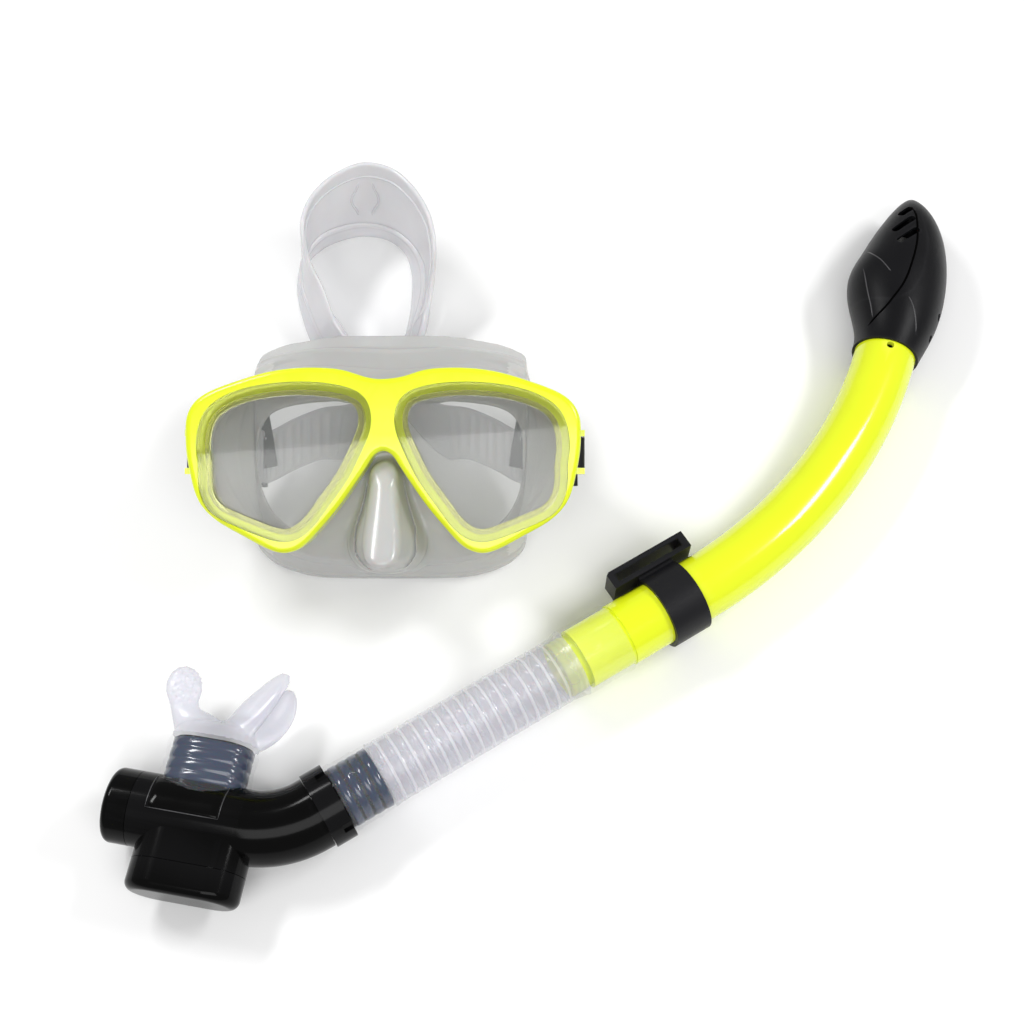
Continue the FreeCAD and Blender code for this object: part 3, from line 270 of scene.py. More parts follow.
def finish_nodes():
    """Every CAD node takes the procedural finish of its record slot."""
    for name, node in NODES.items():
        finish = FINISHES[SLOT_OF[name]]
        if not node.material_slots:
            node.data.materials.append(finish)
        for place in node.material_slots:
            place.material = finish


def dressed(piece, finish, slot, body=None, *nodes):
    """Finish, body and the CAD nodes that a piece stands for; the slot argument is not used."""
    piece.data.materials.clear()
    piece.data.materials.append(FINISHES[finish])
    if body:
        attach(piece, body)
    if nodes:
        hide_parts(*nodes)
    return piece


def other_finish(piece, finish, place, takes_it):
    """Another finish on the faces whose middle, in millimetres of that frame, passes the test."""
    number = len(piece.data.materials)
    piece.data.materials.append(FINISHES[finish])
    to_local = place.inverted()
    for polygon in piece.data.polygons:
        if takes_it((to_local @ polygon.center) / MM):
            polygon.material_index = number


# ---------------------------------------------------------------- camera, light and floor
CAMERA_PLACE = (-0.02205, -0.2570, 0.5465)
CAMERA_TILT = 26.0
SKY_STRENGTH = 0.36
FLOOR_HALF = 1600.0
# each light's name, place, aim, width, height and power
LIGHTS = [
    ("Key", (-0.50, 0.30, 0.75), (-0.02, 0.0, 0.0), 0.34, 0.12, 3.4),
    ("Fill", (0.62, 0.10, 0.70), (0.0, 0.0, 0.0), 0.34, 0.12, 3.0),
    ("Front", (0.05, -0.62, 0.95), (0.0, 0.0, 0.0), 1.0, 0.5, 6.4)]


def set_stage():
    """The camera, the pale floor, a soft sky and three area lights."""
    scene = bpy.context.scene
    lens = bpy.data.cameras.new("Camera")
    lens.lens = 50.0
    lens.sensor_width = 36.0
    camera = bpy.data.objects.new("Camera", lens)
    camera.location = CAMERA_PLACE
    camera.rotation_euler = (math.radians(CAMERA_TILT), 0.0, 0.0)
    scene.collection.objects.link(camera)
    scene.camera = camera

    scene.view_settings.view_transform = "Standard"
    world = bpy.data.worlds.new("Studio")
    world.use_nodes = True
    sky = world.node_tree.nodes["Background"]
    sky.inputs["Color"].default_value = (1.0, 1.0, 1.0, 1.0)
    sky.inputs["Strength"].default_value = SKY_STRENGTH
    scene.world = world

    corners = [(-FLOOR_HALF, -FLOOR_HALF, 0), (FLOOR_HALF, -FLOOR_HALF, 0),
               (FLOOR_HALF, FLOOR_HALF, 0), (-FLOOR_HALF, FLOOR_HALF, 0)]
    floor = mesh_piece("floor", corners, [(0, 1, 2, 3)])
    floor.data.materials.append(surface("Pale floor", (0.93, 0.93, 0.93), 0.75, smudge=0.03,
                                        patchy=0.005, patch_scale=3.0))
    for name, where, aim, wide, tall, power in LIGHTS:
        light = bpy.data.lights.new(name, "AREA")
        light.shape = "RECTANGLE"
        light.size = wide
        light.size_y = tall
        light.energy = power
        lamp = bpy.data.objects.new(name, light)
        lamp.location = where
        lamp.rotation_euler = (Vector(aim) - Vector(where)).to_track_quat("-Z", "Y").to_euler()
        scene.collection.objects.link(lamp)


# ---------------------------------------------------------------- mask skirt
SKIRT_VOXEL = 0.00085
WELD_DISTANCE = 0.00002
SKIRT_GROWTH = 0.0004      # how far each face of the wall moves out, so that the even skin stays whole
SKIRT_ROUNDS = 8
OPENING_PUSH = 4.3         # how far the face opening's sides are let out towards the flange's edge
OPENING_SIDE, FLANGE_EDGE = (32.0, 49.0), (50.0, 57.5)
FLANGE_DEPTH = (-34.0, -31.0)
NOSE_REACH, NOSE_TOP, NOSE_DEPTH = 12.0, -3.0, -9.0
NOSE_HALF_WIDTH, NOSE_SPREAD = 4.2, 0.09
NOSE_DROP, NOSE_LIMIT = 2.3, 1.3
NOSE_BLEND = (4.0, 12.0)
WALL_RIDGES = [(-17.0, 0.35, 0.9), (-25.5, 0.35, 0.9), (-38.5, 0.5, 1.1)]    # depth, height, width
RIDGE_REACH = 40.0         # how far from the middle the ridges have their full height
WALL_SIDE, WALL_BACK = 48.0, -34.0


def eased(number, low, high):
    """0 below the low number, 1 above the high one, smooth between."""
    share = max(0.0, min(1.0, (number - low) / (high - low)))
    return share * share * (3 - 2 * share)


def let_out(place):
    """The face opening's sides, moved outward without moving the flange's outer edge."""
    width = abs(place.x)
    push = OPENING_PUSH * eased(width, *OPENING_SIDE) * (1.0 - eased(width, *FLANGE_EDGE))
    push *= 1.0 - eased(place.z, *FLANGE_DEPTH)
    place.x += math.copysign(push, place.x)


def rounded_nose(place):
    """The nose's flat ridge turned into a rounded one that swells towards its foot."""
    if abs(place.x) < NOSE_REACH and place.y < NOSE_TOP and place.z > NOSE_DEPTH:
        half_width = NOSE_HALF_WIDTH + NOSE_SPREAD * -place.y
        drop = NOSE_DROP * min((place.x / half_width) ** 2, NOSE_LIMIT)
        place.z -= drop * eased(-place.y, *NOSE_BLEND)


def skirt():
    """The moulded skirt: an even skin of its CAD solid, softened, with low ridges round its wall."""
    source = NODES["skirt"]
    piece = bpy.data.objects.new("skirt_moulding", source.data.copy())
    bpy.context.scene.collection.objects.link(piece)
    weld = piece.modifiers.new("weld", "WELD")
    weld.merge_threshold = WELD_DISTANCE
    thicken = piece.modifiers.new("thicken", "DISPLACE")
    thicken.mid_level = 0.0
    thicken.strength = SKIRT_GROWTH
    voxel = SKIRT_VOXEL * 1.0
    remeshed(piece, voxel, SKIRT_ROUNDS)
    to_mask = MASK.inverted()
    for vertex, normal in zip(piece.data.vertices, [v.normal.copy() for v in piece.data.vertices]):
        local = (to_mask @ vertex.co) / MM
        swell = 0.0
        for depth, height, width in WALL_RIDGES:
            swell += height * math.exp(-((local.z - depth) / width) ** 2)
        outer = max(0.0, min(1.0, (abs(local.x) + abs(local.y)) / RIDGE_REACH))
        moved = local + (to_mask.to_3x3() @ normal) * swell * outer
        let_out(moved)
        rounded_nose(moved)
        vertex.co = MASK @ (moved * MM)
    dressed(piece, "skirt_silicone", "skirt_silicone", "mask", "skirt")
    other_finish(piece, "skirt_wall", MASK,
                 lambda place: abs(place.x) > WALL_SIDE and place.z > WALL_BACK)


WEDGE_FRONT, WEDGE_BACK = -44.9, -46.1
WEDGE_OUTLINE = [(-54.6, -3.0), (-48.4, -1.6), (-49.8, 8.0), (-52.2, 21.5), (-53.6, 21.5), (-54.8, 8.0)]


def buckle_wedges():
    """The black wedge at the inner end of each buckle, seen through the lens beside the face opening."""
    count = len(WEDGE_OUTLINE)
    for word, side in (("left", 1), ("right", -1)):
        rings = [[(side * x, y, z) for x, y in WEDGE_OUTLINE] for z in (WEDGE_FRONT, WEDGE_BACK)]
        points = [point for ring in rings for point in ring]
        piece = mesh_piece("buckle_wedge_" + word, points, ring_faces(2, count), MASK)
        piece.data.polygons.foreach_set("use_smooth", [False] * len(piece.data.polygons))
        dressed(piece, "black_matte", "black_matte", "buckle_" + word)


# ---------------------------------------------------------------- head strap
# rims of the strap, measured from the middle of the mask's place on the floor, lower rim first
STRAP_SHIFT = Vector((-71.75, 5.5, 0.0))
STRAP_THICK = 2.2
LEFT_LEG = [
    ((-23.5, 28.0, 4.0), (-18.5, 48.0, 17.5)), ((-16.5, 42.0, 1.6), (-11.8, 57.0, 20.0)),
    ((-16.0, 55.0, 1.2), (-11.0, 64.0, 21.0)), ((-23.0, 66.0, 1.2), (-15.5, 71.0, 21.0)),
    ((-33.0, 78.0, 1.2), (-22.5, 79.5, 20.8)), ((-40.5, 89.0, 1.2), (-29.0, 90.0, 21.5))]
RIGHT_LEG = [
    ((21.5, 28.0, 4.0), (17.0, 48.0, 17.5)), ((9.5, 42.0, 1.6), (6.0, 56.0, 20.0)),
    ((1.0, 55.0, 1.2), (-0.5, 61.5, 21.0)), ((-0.8, 68.0, 1.2), (4.0, 68.0, 21.0)),
    ((0.8, 81.0, 1.2), (10.5, 80.0, 21.2)), ((2.2, 94.0, 1.2), (13.2, 94.0, 23.0))]
UPPER_BAND = [
    ((-31.5, 80.0, 8.5), (-24.2, 81.0, 20.6)), ((-36.5, 89.5, 10.5), (-29.4, 90.5, 21.8)),
    ((-41.0, 101.0, 12.0), (-34.0, 101.0, 27.5)), ((-44.0, 112.0, 13.0), (-39.5, 110.0, 36.0)),
    ((-45.0, 124.0, 13.5), (-41.4, 120.0, 46.0)), ((-42.0, 136.0, 13.5), (-38.8, 133.5, 47.0)),
    ((-33.5, 143.8, 13.0), (-30.5, 145.5, 47.0)), ((-20.6, 147.2, 12.6), (-17.5, 153.4, 47.0)),
    ((-7.5, 145.0, 12.6), (-4.5, 150.8, 47.0)), ((2.6, 137.0, 13.0), (5.5, 140.8, 47.0)),
    ((9.5, 125.5, 13.2), (13.4, 125.5, 47.0)), ((11.6, 113.5, 12.6), (16.0, 112.0, 42.0)),
    ((10.6, 103.0, 11.8), (15.0, 102.5, 30.5)), ((7.8, 93.5, 10.8), (13.2, 93.5, 23.2)),
    ((5.6, 82.5, 9.5), (10.8, 82.0, 21.2))]
LOWER_BAND = [
    ((-34.0, 79.0, 1.0), (-30.0, 80.0, 9.0)), ((-40.8, 89.5, 1.0), (-35.6, 90.0, 10.2)),
    ((-45.6, 103.5, 1.0), (-40.6, 101.5, 11.6)), ((-48.3, 118.0, 1.0), (-45.4, 115.0, 12.4)),
    ((-47.0, 131.5, 1.0), (-44.6, 129.5, 12.8)), ((-40.0, 141.0, 1.0), (-38.6, 140.0, 12.8)),
    ((-30.5, 146.5, 1.0), (-29.8, 145.0, 12.8)), ((-19.8, 149.0, 1.0), (-19.6, 147.2, 12.8)),
    ((-8.0, 146.5, 1.0), (-7.4, 144.8, 12.8)), ((0.4, 138.5, 1.0), (2.4, 137.0, 13.0)),
    ((4.0, 126.0, 1.0), (9.0, 125.5, 13.0)), ((4.4, 113.0, 1.0), (10.8, 113.0, 12.4)),
    ((3.8, 102.5, 1.0), (9.4, 102.5, 11.6)), ((2.4, 93.0, 1.0), (7.0, 93.0, 10.6)),
    ((1.0, 82.0, 1.0), (5.0, 82.0, 9.2))]
LEG_SPLIT = 4          # the tail pieces end, and the head band starts, at this rim of each leg
BUCKLE_MIDDLE = (7.9, -1.5)
TAIL_INSIDE = 64.45    # the tail's own radius, just inside its roller
TAIL_MIDDLE_Y = 2.5
TAIL_HALF_WIDTH = 11.0


def floor_rims(rims):
    return [tuple(Vector(point) + STRAP_SHIFT for point in pair) for pair in rims]


def tail_rims(side):
    """The tail's rims: round the inside of the roller, then behind the face opening."""
    middles = []
    for angle, radius in ((33.5, TAIL_INSIDE + 0.2), (37.0, TAIL_INSIDE), (42.0, TAIL_INSIDE),
                          (47.0, TAIL_INSIDE - 0.3)):
        turn = math.radians(angle)
        middles.append((side * (BUCKLE_MIDDLE[0] + radius * math.cos(turn)), TAIL_MIDDLE_Y,
                        BUCKLE_MIDDLE[1] - radius * math.sin(turn)))
    middles.append((side * 42.0, 8.0, -53.0))
    middles.append((side * 31.0, 12.5, -56.5))
    reach = Vector((0.0, TAIL_HALF_WIDTH, 0.0))
    return [tuple((MASK @ ((Vector(middle) + sign * reach) * MM)) / MM for sign in (-1, 1))
            for middle in middles]


RIM_WIDTH, RIM_ROUNDING = 1.6, 0.9
END_SHARE, END_GROWTH = 0.35, 0.4          # a band's thickness at its ends, and its growth at each step


def half_thickness(across, thick, rim_height, width):
    """Half the band's thickness at a share of its width: thicker, rounded rims, a thinner middle."""
    from_edge = min(across, 1.0 - across) * width
    swell = rim_height * math.exp(-((from_edge - RIM_WIDTH) / RIM_WIDTH) ** 2)
    rounding = min(1.0, from_edge / RIM_ROUNDING)
    return (thick / 2 + swell) * math.sqrt(1.0 - (1.0 - rounding) ** 2)


def band(name, rims, steps, thick=STRAP_THICK, rim_height=0.45, across_steps=26, relief=None):
    """A moulded silicone band between two rims; relief(along, across) raises both its faces."""
    low = smooth_path([pair[0] for pair in rims], steps)
    top = smooth_path([pair[1] for pair in rims], steps)
    count = len(low)
    shares = [0.5 - 0.5 * math.cos(math.pi * k / across_steps) for k in range(across_steps + 1)]
    points = []
    for number in range(count):
        before, after = max(number - 1, 0), min(number + 1, count - 1)
        along = (low[after] + top[after] - low[before] - top[before]).normalized()
        width = (top[number] - low[number]).length
        normal = along.cross((top[number] - low[number]).normalized()).normalized()
        end = min(number, count - 1 - number)
        taper = min(1.0, END_SHARE + END_GROWTH * end)
        for face in (1, -1):
            for share in (shares if face > 0 else reversed(shares[1:-1])):
                height = half_thickness(share, thick, rim_height, width) * taper
                if relief:
                    height += relief(number / (count - 1), share)
                points.append(low[number].lerp(top[number], share) + normal * height * face)
    return mesh_piece(name, points, ring_faces(count, 2 * across_steps))


TAIL_RIBS = 26             # as if the ribs ran along the whole tail
RIBBED_SHARE, RIB_MARGIN = 0.62, 0.14
RIB_HEIGHT, RIB_FULLNESS = 0.8, 0.7


def tail_relief(along, across):
    """Cross ribs on the tail, which hold the strap on its roller."""
    if along > RIBBED_SHARE or not RIB_MARGIN < across < 1.0 - RIB_MARGIN:
        return 0.0
    return RIB_HEIGHT * max(0.0, math.cos(2 * math.pi * along * TAIL_RIBS)) ** RIB_FULLNESS


# the panel's moulded lines, in shares of its length and its height
PANEL_THICK, PANEL_RIM_HEIGHT, PANEL_STEPS = 1.8, 0.12, 14
LINE_RADIUS, LINE_LIFT = 0.6, 0.95
LINE_START, LINE_LENGTH, LINE_HEIGHT, LINE_STEPS = 0.16, 0.70, 0.80, 70
PANEL_MIDDLE = 0.512
WAIST_HALF, WAIST_BOW = 0.026, 0.008
WAIST_START, WAIST_LENGTH, WAIST_STEPS = 0.16, 0.54, 30


def on_panel(along, across):
    """A point on the inner face of the head band's upper panel."""
    rims = floor_rims(UPPER_BAND)
    low = smooth_path([pair[0] for pair in rims], PANEL_STEPS)
    top = smooth_path([pair[1] for pair in rims], PANEL_STEPS)
    number = min(int(along * (len(low) - 1)), len(low) - 2)
    share = along * (len(low) - 1) - number
    here = low[number].lerp(low[number + 1], share)
    above = top[number].lerp(top[number + 1], share)
    forward = (low[number + 1] - low[number]).normalized()
    inward = (above - here).normalized().cross(forward).normalized()
    return here.lerp(above, across) - inward * LINE_LIFT


def panel_lines():
    """The panel's moulded lines: one near its top rim, and the two bowed lines at its middle."""
    lines = {"strap_line_top": [on_panel(LINE_START + LINE_LENGTH * step / LINE_STEPS, LINE_HEIGHT)
                                for step in range(LINE_STEPS + 1)]}
    for word, side in (("left", -1), ("right", 1)):
        path = []
        for step in range(WAIST_STEPS + 1):
            waist = WAIST_HALF - WAIST_BOW * math.cos(2 * math.pi * step / WAIST_STEPS)
            path.append(on_panel(PANEL_MIDDLE + side * waist,
                                 WAIST_START + WAIST_LENGTH * step / WAIST_STEPS))
        lines["strap_waist_" + word] = path
    return lines


def strap():
    """Two ribbed tails, and the split head band that rides on the mask."""
    for word, side, leg in (("left", -1, LEFT_LEG), ("right", 1, RIGHT_LEG)):
        rims = tail_rims(side) + floor_rims(leg[:LEG_SPLIT])
        tail = band("strap_tail_" + word, rims, 16, relief=tail_relief, across_steps=20)
        dressed(tail, "strap_silicone", "strap_silicone")
        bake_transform(tail)
        low_leg = band("strap_leg_" + word, floor_rims(leg[LEG_SPLIT - 2:])[1:], 10)
        dressed(low_leg, "strap_silicone", "strap_silicone", "mask")
    upper = band("strap_panel", floor_rims(UPPER_BAND), PANEL_STEPS, thick=PANEL_THICK,
                 rim_height=PANEL_RIM_HEIGHT)
    dressed(upper, "strap_silicone", "strap_silicone", "mask", "strap")
    for name, path in panel_lines().items():
        line = bead(name, path, LINE_RADIUS)
        # the lines take the lighter silicone, a painted highlight on the raised lines
        dressed(line, "line_silicone_painted_highlight", "strap_silicone", "mask")
    lower = band("strap_lower_band", floor_rims(LOWER_BAND), 10, thick=2.0)
    dressed(lower, "strap_silicone", "strap_silicone", "mask")


# ---------------------------------------------------------------- flexible hose
HOSE_START, HOSE_END = -126.0, -1.5
HOSE_RINGS_START, HOSE_RING_PITCH, HOSE_RINGS = -105.0, 4.9, 16
RING_WIDTH, RING_SLOPE = 1.1, 0.2
HOSE_RADIUS, HOSE_BORE = 12.8, 11.6
RING_RADIUS, RING_BORE = 13.0, 10.9
LOW_CUFF_END, HIGH_CUFF_START = -108.5, -22.8


def ridges(first, pitch, count, width, slope, low, high):
    """The cut line of a row of flat ridges along a tube, as (x, radius)."""
    line = []
    for number in range(count):
        start = first + number * pitch
        line += [(start, low), (start + slope, high), (start + width - slope, high),
                 (start + width, low)]
    return line


def hose_profile():
    """The hose's cut: two smooth cuffs with end beads, and a smooth wall stiffened by narrow rings."""
    outer = [(HOSE_START, 13.0), (HOSE_START + 0.4, 13.9), (HOSE_START + 2.2, 13.9),
             (HOSE_START + 2.8, 13.5), (-116.6, 13.5), (-116.0, 13.8), (-114.6, 13.8), (-114.0, 13.4),
             (-108.5, 13.3), (-106.5, 12.9)]
    rings = (HOSE_RINGS_START, HOSE_RING_PITCH, HOSE_RINGS, RING_WIDTH, RING_SLOPE)
    outer += ridges(*rings, HOSE_RADIUS, RING_RADIUS)
    inner = ridges(*rings, HOSE_BORE, RING_BORE)
    outer += [(-29.0, HOSE_RADIUS), (-26.5, 13.2), (-23.4, 13.7), (-22.6, 14.1), (-21.0, 14.25),
              (-12.4, 14.1), (-11.8, 13.75), (-11.0, 13.75), (-10.4, 14.1), (-5.0, 14.15),
              (-4.4, 14.55), (-2.2, 14.55), (HOSE_END, 14.1)]
    ends = [(HOSE_START, 12.0), (-109.2, 12.0), (-108.0, HOSE_BORE)]
    return outer + [(HOSE_END, 12.6), (-22.3, 12.6), (-23.6, 11.8)] + inner[::-1] + ends[::-1]


def in_ring(place):
    """Whether a place along the hose is in one of its narrow rings."""
    number, offset = divmod(place.x - HOSE_RINGS_START, HOSE_RING_PITCH)
    return 0 <= number < HOSE_RINGS and offset < RING_WIDTH


def hose():
    """The clear hose between the chamber's collar and the rigid tube."""
    piece = lathe("hose_ribbed", hose_profile(), SNORKEL)
    dressed(piece, "hose_silicone", "hose_silicone", None, "flex_hose")
    other_finish(piece, "cuff_silicone", SNORKEL,
                 lambda place: place.x < LOW_CUFF_END or place.x > HIGH_CUFF_START)
    other_finish(piece, "ring_silicone", SNORKEL, in_ring)
    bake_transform(piece)


# ---------------------------------------------------------------- mouthpiece
NECK_MIDDLE = -1.8
BARREL_Y, BARREL_RADIUS = 1.5, 14.0
CUFF_TOP = 31.0
OBLONG_STEPS, OBLONG_POWER = 48, 2.6
WING_STEPS, WING_SPAN_STEPS = 28, 5
MOUTHPIECE_VOXEL, MOUTHPIECE_ROUNDS = 0.00055, 10
# rings of the cuff and its hollow as (height, width, thickness); the foot's are heights off the barrel
FOOT_RINGS = [(0.4, 33.8, 23.8), (1.0, 35.2, 25.2), (2.6, 35.2, 25.2), (3.2, 34.0, 24.0)]
CUFF_RINGS = [
    (19.4, 34.0, 24.0), (20.0, 35.2, 25.2), (20.8, 34.0, 24.0), (23.8, 33.8, 23.8),
    (24.6, 34.8, 24.8), (28.6, 35.0, 25.0), (29.6, 34.0, 24.0), (32.0, 33.0, 22.0),
    (34.0, 32.0, 19.6), (36.4, 30.0, 15.5), (38.0, 24.0, 10.0), (38.4, 10.0, 4.0)]
HOLLOW_RINGS = [(4.0, 31.6, 21.6), (30.2, 31.6, 21.6), (31.0, 22.0, 12.0), (41.0, 20.0, 8.0)]
# small studs on the left wing
STUDS_X, STUDS_Y = -18.0, 50.5
STUDS_REACH_X, STUDS_REACH_Y = 5.0, 7.0
STUD_TURN, STUD_HEIGHT = 2.1, 0.8          # radians in a millimetre, and millimetres


def oblong_ring(y, width, thick):
    """A rounded oblong at a height along the port, wide along X, as one ring of points."""
    ring = []
    for step in range(OBLONG_STEPS):
        turn = 2 * math.pi * step / OBLONG_STEPS
        c, s = math.cos(turn), math.sin(turn)
        x = math.copysign(abs(c) ** (2 / OBLONG_POWER), c) * width / 2
        z = math.copysign(abs(s) ** (2 / OBLONG_POWER), s) * thick / 2
        ring.append((NECK_MIDDLE + x, y, z))
    return ring


def hugging_ring(above, width, thick):
    """A ring whose height follows the round barrel, a little above it."""
    ring = []
    for x, y, z in oblong_ring(above, width, thick):
        ring.append((x, BARREL_Y + math.sqrt(max(BARREL_RADIUS ** 2 - z * z, 0.0)) + y, z))
    return ring


# each bite wing as (place of the section's middle, half width, half thickness, turn of its width)
LEFT_WING = [
    ((-5.0, 31.0, 0.0), 9.0, 7.0, 0.0), ((-11.0, 35.0, 0.5), 8.2, 5.4, 4.0),
    ((-15.4, 39.4, 1.5), 5.8, 3.4, 6.0), ((-17.4, 43.6, 2.2), 5.6, 2.4, 8.0),
    ((-18.6, 48.0, 2.6), 7.0, 2.3, 9.0), ((-19.8, 52.0, 2.8), 6.8, 2.2, 9.0),
    ((-21.2, 55.8, 2.8), 4.8, 1.8, 9.0), ((-22.0, 57.8, 2.8), 2.0, 0.8, 9.0)]
RIGHT_WING = [
    ((2.0, 31.0, 0.0), 9.5, 7.0, 0.0), ((8.0, 35.0, -0.5), 9.4, 5.2, -4.0),
    ((13.5, 39.0, -1.5), 8.6, 3.2, -8.0), ((16.8, 43.4, -2.0), 8.0, 2.1, -10.0),
    ((18.8, 48.0, -2.2), 7.2, 1.9, -12.0), ((20.0, 52.2, -2.2), 5.6, 1.7, -12.0),
    ((20.4, 55.6, -2.0), 3.4, 1.2, -12.0), ((20.5, 57.4, -2.0), 1.4, 0.6, -12.0)]
RIGHT_BLADE = [
    ((3.0, 33.0, 2.5), 6.0, 3.0, -22.0), ((7.0, 38.0, 4.0), 6.8, 2.6, -22.0),
    ((10.2, 43.5, 5.0), 7.0, 2.3, -22.0), ((13.2, 49.0, 5.2), 6.6, 2.1, -24.0),
    ((16.0, 54.5, 5.0), 5.6, 1.9, -26.0), ((18.2, 58.8, 4.6), 4.2, 1.5, -26.0),
    ((19.2, 61.4, 4.4), 2.0, 0.9, -26.0)]


def wing_rings(sections):
    """The rings of a bite wing, on a smooth line through its sections."""
    middles = smooth_path([section[0] for section in sections], WING_SPAN_STEPS)
    sizes = smooth_path([section[1:] for section in sections], WING_SPAN_STEPS)
    rings = []
    for number, (middle, (wide, thick, turn)) in enumerate(zip(middles, sizes)):
        before, after = max(number - 1, 0), min(number + 1, len(middles) - 1)
        along = (middles[after] - middles[before]).normalized()
        across = Vector((1.0, 0.0, 0.0)) - along * along.x
        across = Matrix.Rotation(math.radians(turn), 3, along) @ across.normalized()
        through = across.cross(along).normalized()
        turns = [2 * math.pi * step / WING_STEPS for step in range(WING_STEPS)]
        rings.append([middle + across * wide * math.cos(turn) + through * thick * math.sin(turn)
                      for turn in turns])
    return rings


def mouthpiece():
    """Clear silicone: a cuff over the blue-grey port, a flared lip and two soft bite wings."""
    outside = [hugging_ring(*ring) for ring in FOOT_RINGS] + [oblong_ring(*ring) for ring in CUFF_RINGS]
    points, faces = [], []
    for rings in (outside, wing_rings(LEFT_WING), wing_rings(RIGHT_WING), wing_rings(RIGHT_BLADE)):
        faces += ring_faces(len(rings), len(rings[0]), start=len(points))
        points += [point for ring in rings for point in ring]
    piece = mesh_piece("mouthpiece_moulding", points, faces, CHAMBER)
    remeshed(piece, MOUTHPIECE_VOXEL, MOUTHPIECE_ROUNDS)

    hollow = tube_piece("hollow", [oblong_ring(*ring) for ring in HOLLOW_RINGS], CHAMBER)
    cutter = piece.modifiers.new("hollow", "BOOLEAN")
    cutter.operation = "DIFFERENCE"
    cutter.object = hollow
    graph = bpy.context.evaluated_depsgraph_get()
    piece.data = bpy.data.meshes.new_from_object(piece.evaluated_get(graph))
    piece.modifiers.clear()
    bpy.data.objects.remove(hollow)
    to_local = CHAMBER.inverted()
    for vertex, normal in zip(piece.data.vertices, [v.normal.copy() for v in piece.data.vertices]):
        local = (to_local @ vertex.co) / MM
        on_paddle = math.exp(-((local.x - STUDS_X) / STUDS_REACH_X) ** 4
                             - ((local.y - STUDS_Y) / STUDS_REACH_Y) ** 4)
        studs = max(0.0, math.sin(local.x * STUD_TURN) * math.sin(local.y * STUD_TURN))
        vertex.co += normal * STUD_HEIGHT * studs * on_paddle * MM
    dressed(piece, "mouthpiece_silicone", "mouthpiece_silicone", "chamber", "mouthpiece")
    other_finish(piece, "cuff_silicone", CHAMBER, lambda place: place.y < CUFF_TOP)


PORT_WIDTH, PORT_THICK = 30.0, 20.0
# the port's cut line, as (height, how much wider than the port), up its outside and down its inside
PORT_LINE = [
    (13.0, 0.0), (13.2, 1.1), (16.2, 1.1), (16.5, 0.8), (17.4, 0.8), (17.6, 1.2), (20.6, 1.2),
    (20.9, 0.8), (21.9, 0.8), (22.2, 1.2), (25.2, 1.2), (25.5, 0.8), (26.4, 0.8), (26.7, 1.1),
    (29.4, 1.1), (29.6, 0.0), (29.5, -0.4), (13.1, -0.4)]
SPIGOT_START, SPIGOT_END, SPIGOT_BORE = -125.0, -108.9, 11.2
SLEEVE_START, SLEEVE_END, SLEEVE_BORE, SLEEVE_RADIUS = -29.0, -19.5, 10.9, 11.3
# each row's pitch, count, ridge width, slope, low and high radius; the sleeve's start comes first
SPIGOT_RIDGES = (4.2, 4, 3.3, 0.3, 11.6, 12.2)
SLEEVE_RIDGES = (-28.6, 2.3, 3, 1.7, 0.2, SLEEVE_RADIUS, 11.55)


def port_ridges():
    """The ridges of the port, the collar's spigot and the tube's end, seen through clear silicone."""
    rings = [oblong_ring(y, PORT_WIDTH + swell, PORT_THICK + swell) for y, swell in PORT_LINE]
    port = tube_piece("port_ridges", rings, CHAMBER, closed_along=True)
    dressed(port, "port_blue", "black_gloss", "chamber")
    outside = ridges(SPIGOT_START, *SPIGOT_RIDGES)
    spigot = lathe("spigot_ridges", outside + [(SPIGOT_END, SPIGOT_BORE), (SPIGOT_START, SPIGOT_BORE)],
                   SNORKEL)
    dressed(spigot, "port_blue", "black_gloss", "chamber")
    outside = ridges(*SLEEVE_RIDGES) + [(SLEEVE_END, SLEEVE_RADIUS)]
    inside = [(SLEEVE_START, SLEEVE_BORE), (SLEEVE_END, SLEEVE_BORE)]
    tube = lathe("tube_end_ridges", outside[::-1] + inside, SNORKEL)
    dressed(tube, "frame_yellow", "frame_yellow", "snorkel")


PANEL_LEFT, PANEL_RIGHT = -17.5, 10.0       # ends of the barrel's raised panel, along the barrel
PANEL_START, PANEL_END = 36.0, 97.0         # its edges, as angles from the mouthpiece's side
PANEL_RISE, PANEL_SINK = 0.32, 0.3
PANEL_EDGE_RADIUS, PANEL_EDGE_RISE, PANEL_EDGE_STEPS = 0.2, 0.1, 12


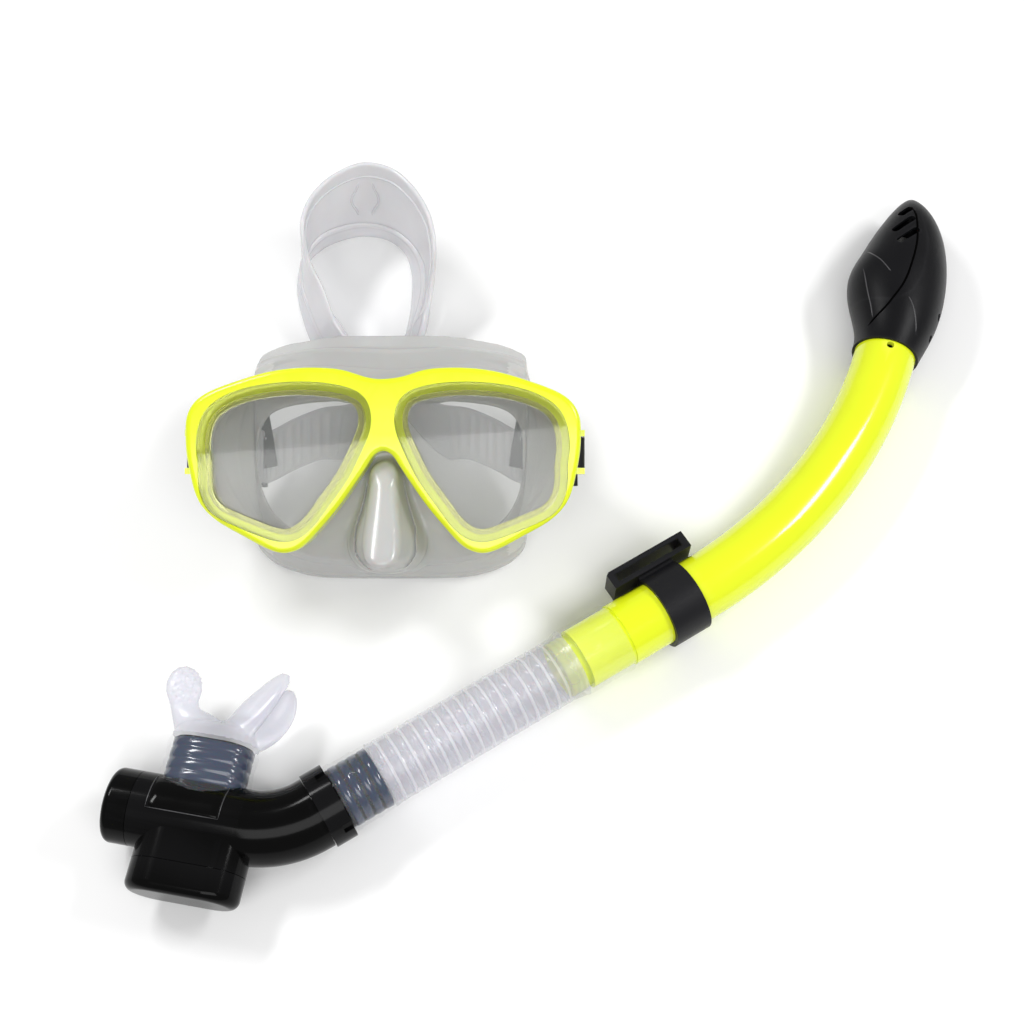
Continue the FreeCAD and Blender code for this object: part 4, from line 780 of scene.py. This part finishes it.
def barrel_panel():
    """The raised panel on the barrel, beside the mouthpiece port."""
    across, along = 24, 16
    points, faces = [], []
    for row in range(along + 1):
        x = PANEL_LEFT + (PANEL_RIGHT - PANEL_LEFT) * row / along
        for step in range(across + 1):
            turn = math.radians(PANEL_START + (PANEL_END - PANEL_START) * step / across)
            edge = row in (0, along) or step in (0, across)
            radius = BARREL_RADIUS + (-PANEL_SINK if edge else PANEL_RISE)
            points.append((x, BARREL_Y + radius * math.cos(turn), radius * math.sin(turn)))
    for row in range(along):
        for step in range(across):
            first = row * (across + 1) + step
            faces.append((first, first + across + 1, first + across + 2, first + 1))
    piece = mesh_piece("barrel_panel", points, faces, CHAMBER)
    dressed(piece, "black_gloss", "black_gloss", "chamber")
    # the panel's edge beads are drawn in a lighter grey than the barrel: painted edge highlights
    corners = [(PANEL_LEFT, PANEL_START), (PANEL_RIGHT, PANEL_START), (PANEL_RIGHT, PANEL_END),
               (PANEL_LEFT, PANEL_END), (PANEL_LEFT, PANEL_START)]
    radius = BARREL_RADIUS + PANEL_EDGE_RISE
    for number, ((x1, turn1), (x2, turn2)) in enumerate(zip(corners, corners[1:])):
        path = []
        for step in range(PANEL_EDGE_STEPS + 1):
            share = step / PANEL_EDGE_STEPS
            turn = math.radians(turn1 + (turn2 - turn1) * share)
            path.append(Vector((x1 + (x2 - x1) * share, BARREL_Y + radius * math.cos(turn),
                                radius * math.sin(turn))))
        edge = bead("barrel_panel_edge_" + str(number + 1), path, PANEL_EDGE_RADIUS, CHAMBER)
        dressed(edge, "crease_highlight_grey", "black_gloss", "chamber")


# lines moulded in the dry top's upper face, as places across it in its own frame
DRY_SEAM = [(73.6, 7.0), (69.1, 4.1), (63.1, 2.4), (52.5, 0.6), (43.9, 0.2), (37.1, 0.4), (29.9, 0.9),
            (24.0, 2.1), (18.3, 4.1), (13.4, 6.1), (8.4, 8.9), (4.6, 11.0)]
DRY_CREASES = [
    [(43.7, 19.6), (40.1, 16.8), (36.4, 13.2), (32.6, 9.9), (30.4, 7.9)],
    [(33.4, 19.6), (22.0, 15.6), (14.0, 12.2), (8.0, 10.0)],
    [(20.6, -1.5), (17.2, -4.3), (13.2, -6.5), (9.0, -8.1), (5.4, -9.0)]]
LINE_SINK = 0.12           # how deep the middle of a line lies under the surface
SEAM_RADIUS, CREASE_RADIUS = 0.5, 0.28
ABOVE_DRY_TOP = 60.0


def on_dry_top(x, y):
    """The point of the dry top's upper face at a place across it."""
    start, down = DRY_TOP @ (Vector((x, y, ABOVE_DRY_TOP)) * MM), Vector((0.0, 0.0, -1.0))
    tops = []
    for name in ("dry_top_cap", "dry_top_base"):
        node = NODES[name]
        back = node.matrix_world.inverted()
        found, place = node.ray_cast(back @ start, back.to_3x3() @ down)[:2]
        if found:
            tops.append(((DRY_TOP.inverted() @ (node.matrix_world @ place)) / MM).z)
    return Vector((x, y, max(tops) - LINE_SINK)) if tops else None


def dry_top_lines():
    """The dark seam between the dry top's two shells, and the fine creases on either side of it, the
    creases drawn in a lighter grey as painted highlights.
    """
    lines = [("dry_top_seam", "seam_black", SEAM_RADIUS, DRY_SEAM)]
    for number, places in enumerate(DRY_CREASES):
        lines.append(("dry_top_crease_" + str(number + 1), "crease_highlight_grey", CREASE_RADIUS, places))
    for name, finish, radius, places in lines:
        path = [on_dry_top(point.x, point.y) for point in smooth_path([(x, y, 0) for x, y in places], 6)]
        line = bead(name, [point for point in path if point], radius, DRY_TOP)
        dressed(line, finish, "black_matte", "snorkel")


finish_nodes()
set_stage()
skirt()
buckle_wedges()
strap()
hose()
mouthpiece()
port_ridges()
barrel_panel()
dry_top_lines()
